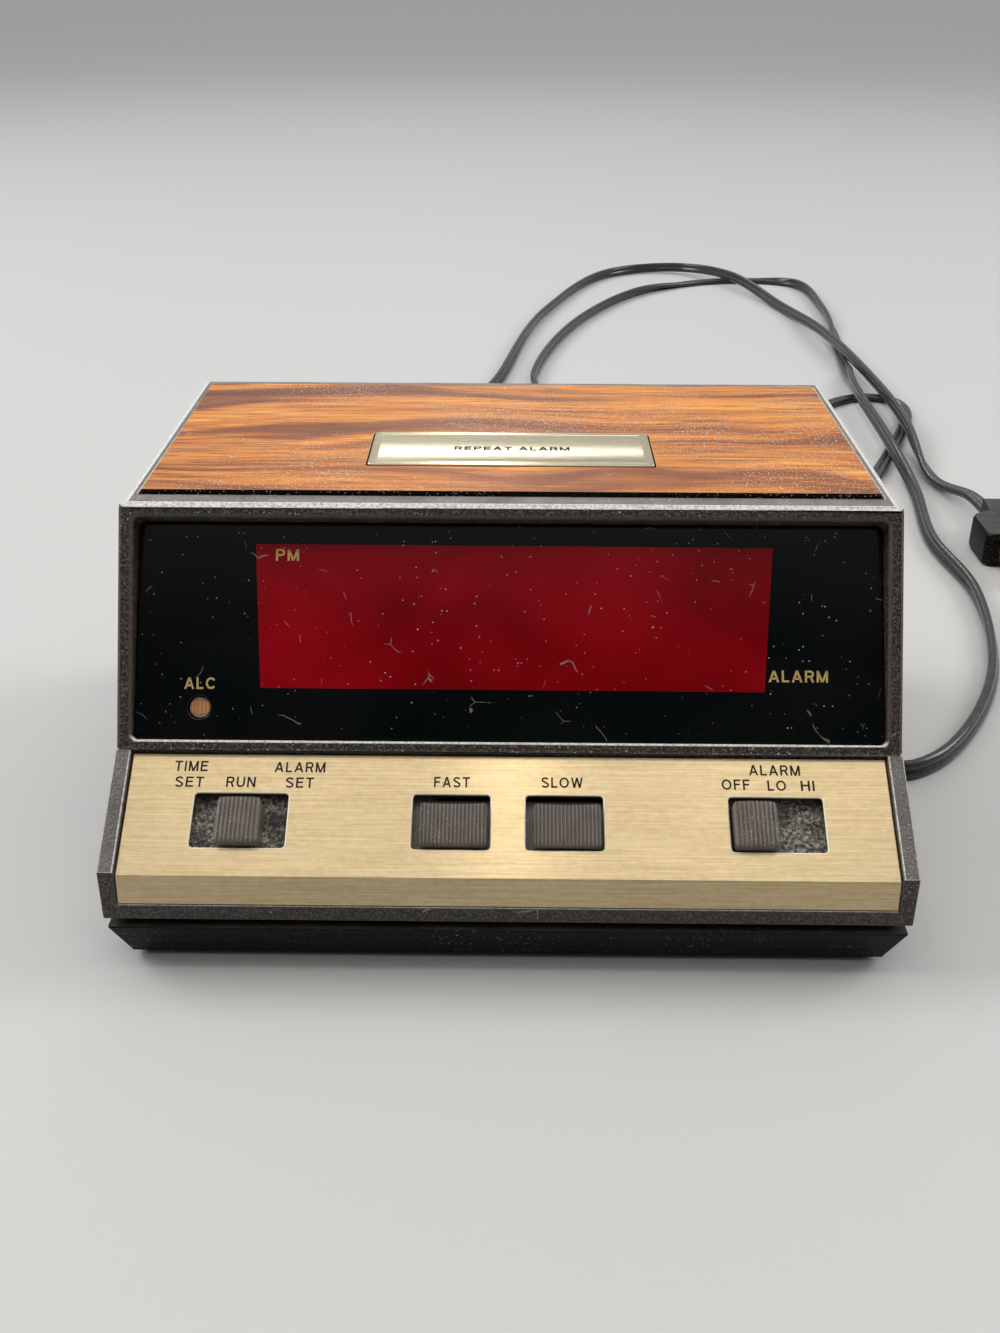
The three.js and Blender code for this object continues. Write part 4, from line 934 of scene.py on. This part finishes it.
# Each capital: its width, lines of even thickness, and slanted strokes as (foot, head, top).
CAPITALS = {
    "A": (0.82, [[(0.18, 0.31), (0.64, 0.31)]], (0.08, 0.41, 1), (0.74, 0.41, 1)),
    "C": (0.82, [arc(0.44, 0.5, 0.44 - HALF, 0.5 - HALF, 38, 322)]),
    "E": (0.66, [
        [(0.66, 1 - HALF), (HALF, 1 - HALF), (HALF, HALF), (0.66, HALF)],
        [(HALF, 0.53), (0.6, 0.53)],
    ]),
    "F": (0.62, [[(0.62, 1 - HALF), (HALF, 1 - HALF), (HALF, 0)], [(HALF, 0.51), (0.55, 0.51)]]),
    "H": (0.74, [upright(HALF), upright(0.74 - HALF), [(HALF, 0.53), (0.74 - HALF, 0.53)]]),
    "I": (STROKE, [upright(HALF)]),
    "L": (0.58, [[(HALF, 1), (HALF, HALF), (0.58, HALF)]]),
    "M": (0.88, [upright(HALF), upright(0.88 - HALF)], (0.44, HALF, 1), (0.44, 0.88 - HALF, 1)),
    "N": (0.74, [upright(HALF), upright(0.74 - HALF)], (0.74 - HALF, HALF, 1)),
    "O": (0.9, [arc(0.45, 0.5, 0.45 - HALF, 0.5 - HALF, 0, 360, 24)]),
    "P": (0.69, [upright(HALF), BOWL]),
    "R": (0.71, [upright(HALF), BOWL], (0.63, 0.44, 0.48)),
    "S": (0.72, [SPINE]),
    "T": (0.7, [[(0, 1 - HALF), (0.7, 1 - HALF)], upright(0.35)]),
    "U": (0.74, [
        [(HALF, 1), *arc(0.37, 0.37, 0.37 - HALF, 0.37 - HALF, 180, 360), (0.74 - HALF, 1)],
    ]),
    "W": (1.1, [], (0.3, 0.08, 1), (0.3, 0.55, 1), (0.8, 0.55, 1), (0.8, 1.02, 1)),
}
INK = 0.02  # the legends' height over the face, in mm
LETTER_GAP = 0.2
WORD_GAP = 0.62


def thick_line(line):
    """The two sides of a line of even thickness."""
    steps = [Vector(b) - Vector(a) for a, b in zip(line, line[1:])]
    normals = [Vector((-step.y, step.x)).normalized() for step in steps]
    sides = ([], [])
    for i, point in enumerate(line):
        before, after = normals[max(i - 1, 0)], normals[min(i, len(normals) - 1)]
        shift = (before + after) / (1 + before.dot(after)) * HALF
        for side, sign in zip(sides, (1, -1)):
            side.append((point[0] + sign * shift.x, point[1] + sign * shift.y))
    return sides


def slanted(foot, head, top):
    """The two sides of a stroke with level ends."""
    half = HALF * math.hypot(1, (head - foot) / top)
    return [(foot + half, 0), (head + half, top)], [(foot - half, 0), (head - half, top)]


def band(sides, low, high, at):
    """A thin closed solid between two lines; at places (x, y, z)."""
    points = []
    for (a, b), (c, d) in zip(*sides):
        points += [at(a, b, high), at(c, d, high), at(c, d, low), at(a, b, low)]
    return points, tube_faces(len(points) // 4, 4)


def legend(name, text, frame_of, x, up, width, height, material, slot, body=CLOCK_SHELL):
    """Printed words: width and height are those of the capitals, x and up their centre."""
    spans, run = [], 0.0
    for letter in text:
        if letter == " ":
            run += WORD_GAP - LETTER_GAP
            continue
        spans.append((letter, run))
        run += CAPITALS[letter][0] + LETTER_GAP
    stretch = width / (run - LETTER_GAP)
    strokes = []
    for letter, start in spans:
        lines, *slants = CAPITALS[letter][1:]
        for sides in [*map(thick_line, lines), *(slanted(*slant) for slant in slants)]:
            def at(a, b, out, start=start):
                across = x + (start + a) * stretch - width / 2
                return frame_of @ mm(across, up + (b - 0.5) * height, out)
            strokes.append(band(sides, -INK, INK, at))
    mesh = mesh_from(name, *joined(*strokes))
    new_piece(name, mesh, material, slot, body=body, smooth=False)


DECK_CAPITALS = 2.35
DECK_WORDS = [  # text, x, up, width
    ("TIME", -66.4, 24.2, 6.95),
    ("SET", -66.4, 20.6, 6.0),
    ("RUN", -55.65, 20.65, 6.1),
    ("ALARM", -43.6, 24.1, 10.6),
    ("SET", -43.4, 20.6, 5.85),
    ("FAST", -11.7, 21.0, 7.45),
    ("SLOW", 11.2, 21.1, 8.6),
    ("ALARM", 55.55, 24.3, 10.65),
    ("OFF", 47.25, 21.0, 5.85),
    ("LO", 55.75, 20.85, 3.85),
    ("HI", 62.15, 20.85, 2.85),
]
LENS_CAPITALS = 2.5
LENS_WORDS = [("PM", -47.4, 39.5, 4.9), ("ALC", -65.4, 12.0, 6.6), ("ALARM", 61.0, 14.4, 12.5)]


def lettering(looks):
    black, gold = looks["black_ink"], looks["gold_ink"]
    for number, (text, x, up, width) in enumerate(DECK_WORDS, 1):
        name = f"legend_{text.lower()}_{number}"
        legend(name, text, DECK, x, up, width, DECK_CAPITALS, black, "gold_metal")
    for text, x, up, width in LENS_WORDS:
        name = f"display_{text.lower()}"
        legend(name, text, LENS, x, up, width, LENS_CAPITALS, gold, "lens_acrylic")
    name, text, bar = "legend_repeat_alarm", "REPEAT ALARM", body_of["repeat_bar"]
    legend(name, text, top_frame(), 0.2, -0.4, 26.4, 2.3, black, "gold_metal", bar)


# ---- pieces made from CAD nodes ----
def near(value, target, within):
    return abs(value - target) < within


BEZEL_FOOT, BEZEL_TOP = 36, 82
CHEEK_EDGES = 79  # distance to each side of the middle
BACK_EDGES = 60  # they stay sharp, as the back wall is one face with slots in it


def fascia_widths(middle, edge):
    """A wide round for the fold, and a fine one for the cut edges."""
    along_x = abs(edge.verts[0].co.x - edge.verts[1].co.x) > 100 * MM
    if along_x and near(middle.z, DECK_FOLD[1], 1.0):
        return 1.3
    return 0.28 if by_a_slot(middle) else 0.12


def by_a_slot(middle):
    """Whether a place in mm is on the metal's face, round one of its slots."""
    placed = DECK.inverted() @ (middle * MM) / MM
    return near(placed.y, SLOT_CENTRE, 6.5) and abs(placed.x) < 70 and placed.z > -0.3


# The rims round the slots, which take the painted highlight.
def cut_edge(middle, normal, rounded):
    return rounded and by_a_slot(middle)


def highlight_edge_faces(middle, normal, rounded):
    """The housing's rounded edges, and the curve between its top and its bezel, which take the
    painted edge highlight.
    """
    return rounded or (middle.z > 80 and 0.6 < normal.z < 0.99)


def housing_widths(middle, edge):
    """Softer edges along the bezel and the cheeks than round the small openings."""
    ends = [vertex.co / MM for vertex in edge.verts]
    length = (ends[0] - ends[1]).length
    on_bezel = all((LENS.inverted() @ vertex.co).z / MM > 0.7 for vertex in edge.verts)
    if middle.y > BACK_EDGES:
        return 0
    if on_bezel and BEZEL_FOOT < middle.z < BEZEL_TOP and abs(middle.x) < CHEEK_EDGES + 0.5:
        return 0.7
    if abs(middle.x) > CHEEK_EDGES and length > 15:
        return 0.45
    return 0.28 if length > 6 else 0.15


def paint(mesh, look):
    """A CAD node's mesh keeps its shape and takes a better material."""
    mesh.materials.clear()
    mesh.materials.append(look)


SLOT_OF = {row["node"]: row["material_slot"] for row in frame["record"]["subparts"]}
REFINED = {  # node: width of its rounded edges in mm
    "base_plate": 0.4, "wood_top_panel": 0.26, "repeat_bar": 0.25, "plug_body": 1.5,
    "plug_blade_1": 0.25, "plug_blade_2": 0.25, "repeat_bracket": 0.4, "transformer_strap": 0.3,
    "transformer_core": 0.2, "transformer_coil": 0.8, "clock_chip": 0.3, "driver_chip": 0.25,
    "filter_capacitor": 0.8, "speaker_magnet": 0.6, "main_board": 0.15, "display_board": 0.15,
    "control_board": 0.15, "light_shield": 0.3, "mode_switch": 0.3, "alarm_switch": 0.3,
    "fast_switch": 0.3, "slow_switch": 0.3, "repeat_switch": 0.3, "photocell": 0.3,
}
WINDOW_CORNERS = [(-52.6, 11.1), (53.9, 11.0), (55.8, 41.7), (-54.2, 41.8)]  # on the lens


def split_window():
    """The CAD lens with its red window marked off on the front face."""
    work = solid_copy("display_lens")
    corners = [Vector((x, up, 0)) for x, up in WINDOW_CORNERS]
    sides = []
    for a, b in zip(corners, corners[1:] + corners[:1]):
        outward = Vector(((b - a).y, -(b - a).x, 0)).normalized()
        sides.append((a, outward))
        geometry = [*work.verts, *work.edges, *work.faces]
        normal = LENS.to_3x3() @ outward
        bmesh.ops.bisect_plane(work, geom=geometry, plane_co=LENS @ (a * MM), plane_no=normal)
    back = LENS.inverted()
    for face in work.faces:
        middle = back @ face.calc_center_median() / MM
        inside = all((middle - a).dot(outward) < 0 for a, outward in sides)
        face.material_index = 1 if inside and middle.z > -0.1 else 0
    return work


def make_display(looks):
    faces = [looks["lens_acrylic"], looks["lens_red"]]
    refined("display_lens", faces, "lens_acrylic", 0.2, work=split_window())
    photocell_window(looks)


def bar_spring(looks):
    """The coil under the repeat bar."""
    node = "repeat_spring"
    mesh = frame["nodes"][node].data.copy()
    paint(mesh, looks["steel"])
    mesh.shade_smooth()
    spring = new_piece("repeat_spring_coil", mesh, looks["steel"], "steel", node, smooth=False)
    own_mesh(spring)


def make_clock(looks):
    shell = [looks["brown_plastic"], looks["dusty_edge"]]
    refined("upper_housing", shell, "brown_plastic", widths=housing_widths, edged=highlight_edge_faces)
    metal = [looks["gold_metal"], looks["cut_metal"]]
    refined("control_fascia", metal, "gold_metal", segments=4, widths=fascia_widths, edged=cut_edge)
    for node, width in REFINED.items():
        refined(node, looks[SLOT_OF[node]], SLOT_OF[node], width)
    make_display(looks)
    slide_knob("mode_knob", -SLIDE_SLOT_X, looks)
    slide_knob("alarm_knob", SLIDE_SLOT_X - KNOB_STEP, looks)
    push_button("fast_button", -BUTTON_SLOT_X, looks)
    push_button("slow_button", BUTTON_SLOT_X, looks)
    bar_plate(looks)
    strain_relief(looks)
    bar_spring(looks)
    lettering(looks)
    for node, thing in frame["nodes"].items():
        if not thing.hide_render:
            paint(thing.data, looks[SLOT_OF[node]])


# ---- studio ----
FLOOR = [(-40, -40, 0), (40, -40, 0), (40, 40, 0), (-40, 40, 0)]  # corners, in metres


def make_floor():
    mesh = mesh_from("floor", FLOOR, [(0, 1, 2, 3)])
    floor = new_object("floor", mesh)
    mesh.materials.append(Look("floor", 0.6, (0.56, 0.56, 0.555)).material)


WARM = (1, 0.93, 0.80)
CEILING_LIGHTS = [(-0.239, 0.33), (0.0, 0.30), (0.091, 0.096), (0.26, 0.36)]  # x and power


def soft_light(name, place, aim, size, power, color=(1, 1, 1)):
    data = bpy.data.lights.new(name, "AREA")
    data.shape = "RECTANGLE"
    data.size, data.size_y = size
    data.energy = power
    data.color = color
    light = new_object(name, data)
    light.location = place
    light.rotation_euler = (Vector(aim) - Vector(place)).to_track_quat("-Z", "Y").to_euler()


OVERHEAD = (0, 0.35, 0.94)
PALE_WALLS = (0.34, 0.34, 0.345)


def make_world():
    """A soft room: bright overhead, pale at its sides and back, and dark in front of the clock."""
    world = bpy.data.worlds.new("world")
    world.use_nodes = True
    sky = Tree(world.node_tree)
    where = sky.node("ShaderNodeTexCoord").outputs["Generated"]
    height = sky.node("ShaderNodeVectorMath", {0: where, 1: OVERHEAD}, operation="DOT_PRODUCT")
    height = height.outputs["Value"]
    tone = sky.ramp(height, (0.30, (0.025, 0.026, 0.028)), (0.95, (0.92, 0.91, 0.90)))
    depth = sky.node("ShaderNodeSeparateXYZ", {"Vector": where}).outputs["Y"]
    fade = {"Value": depth, "From Min": -0.84, "From Max": -0.25}
    behind = sky.node("ShaderNodeMapRange", fade, interpolation_type="SMOOTHSTEP").outputs[0]
    background = sky.tree.nodes["Background"].inputs
    sky.feed(background["Color"], sky.mix(behind, tone, PALE_WALLS, "LIGHTEN"))
    sky.feed(background["Strength"], 1.0)
    bpy.context.scene.world = world


def make_studio():
    make_floor()
    make_world()
    soft_light("back_light", (-0.06, 1.5, 0.93), (0, 0, 0.08), (0.10, 0.3), 1.6)
    for x, power in CEILING_LIGHTS:
        soft_light("ceiling_light", (x, -0.06, 0.95), (x * 0.3, -0.05, 0), (0.045, 0.3), power, WARM)
    soft_light("front_light", (0, -0.42, 0.86), (0, -0.07, 0.03), (0.8, 0.05), 0.6)
    soft_light("left_light", (-1.2, 0.3, 1.0), (0, 0, 0.04), (0.9, 0.7), 13)
    soft_light("right_light", (1.3, 0.4, 0.9), (0, 0, 0.04), (0.7, 0.7), 9)
    bpy.context.scene.view_settings.view_transform = "Standard"


make_camera()
looks = make_materials()
cord, cord_points = make_cord(looks)
make_clock(looks)
make_studio()
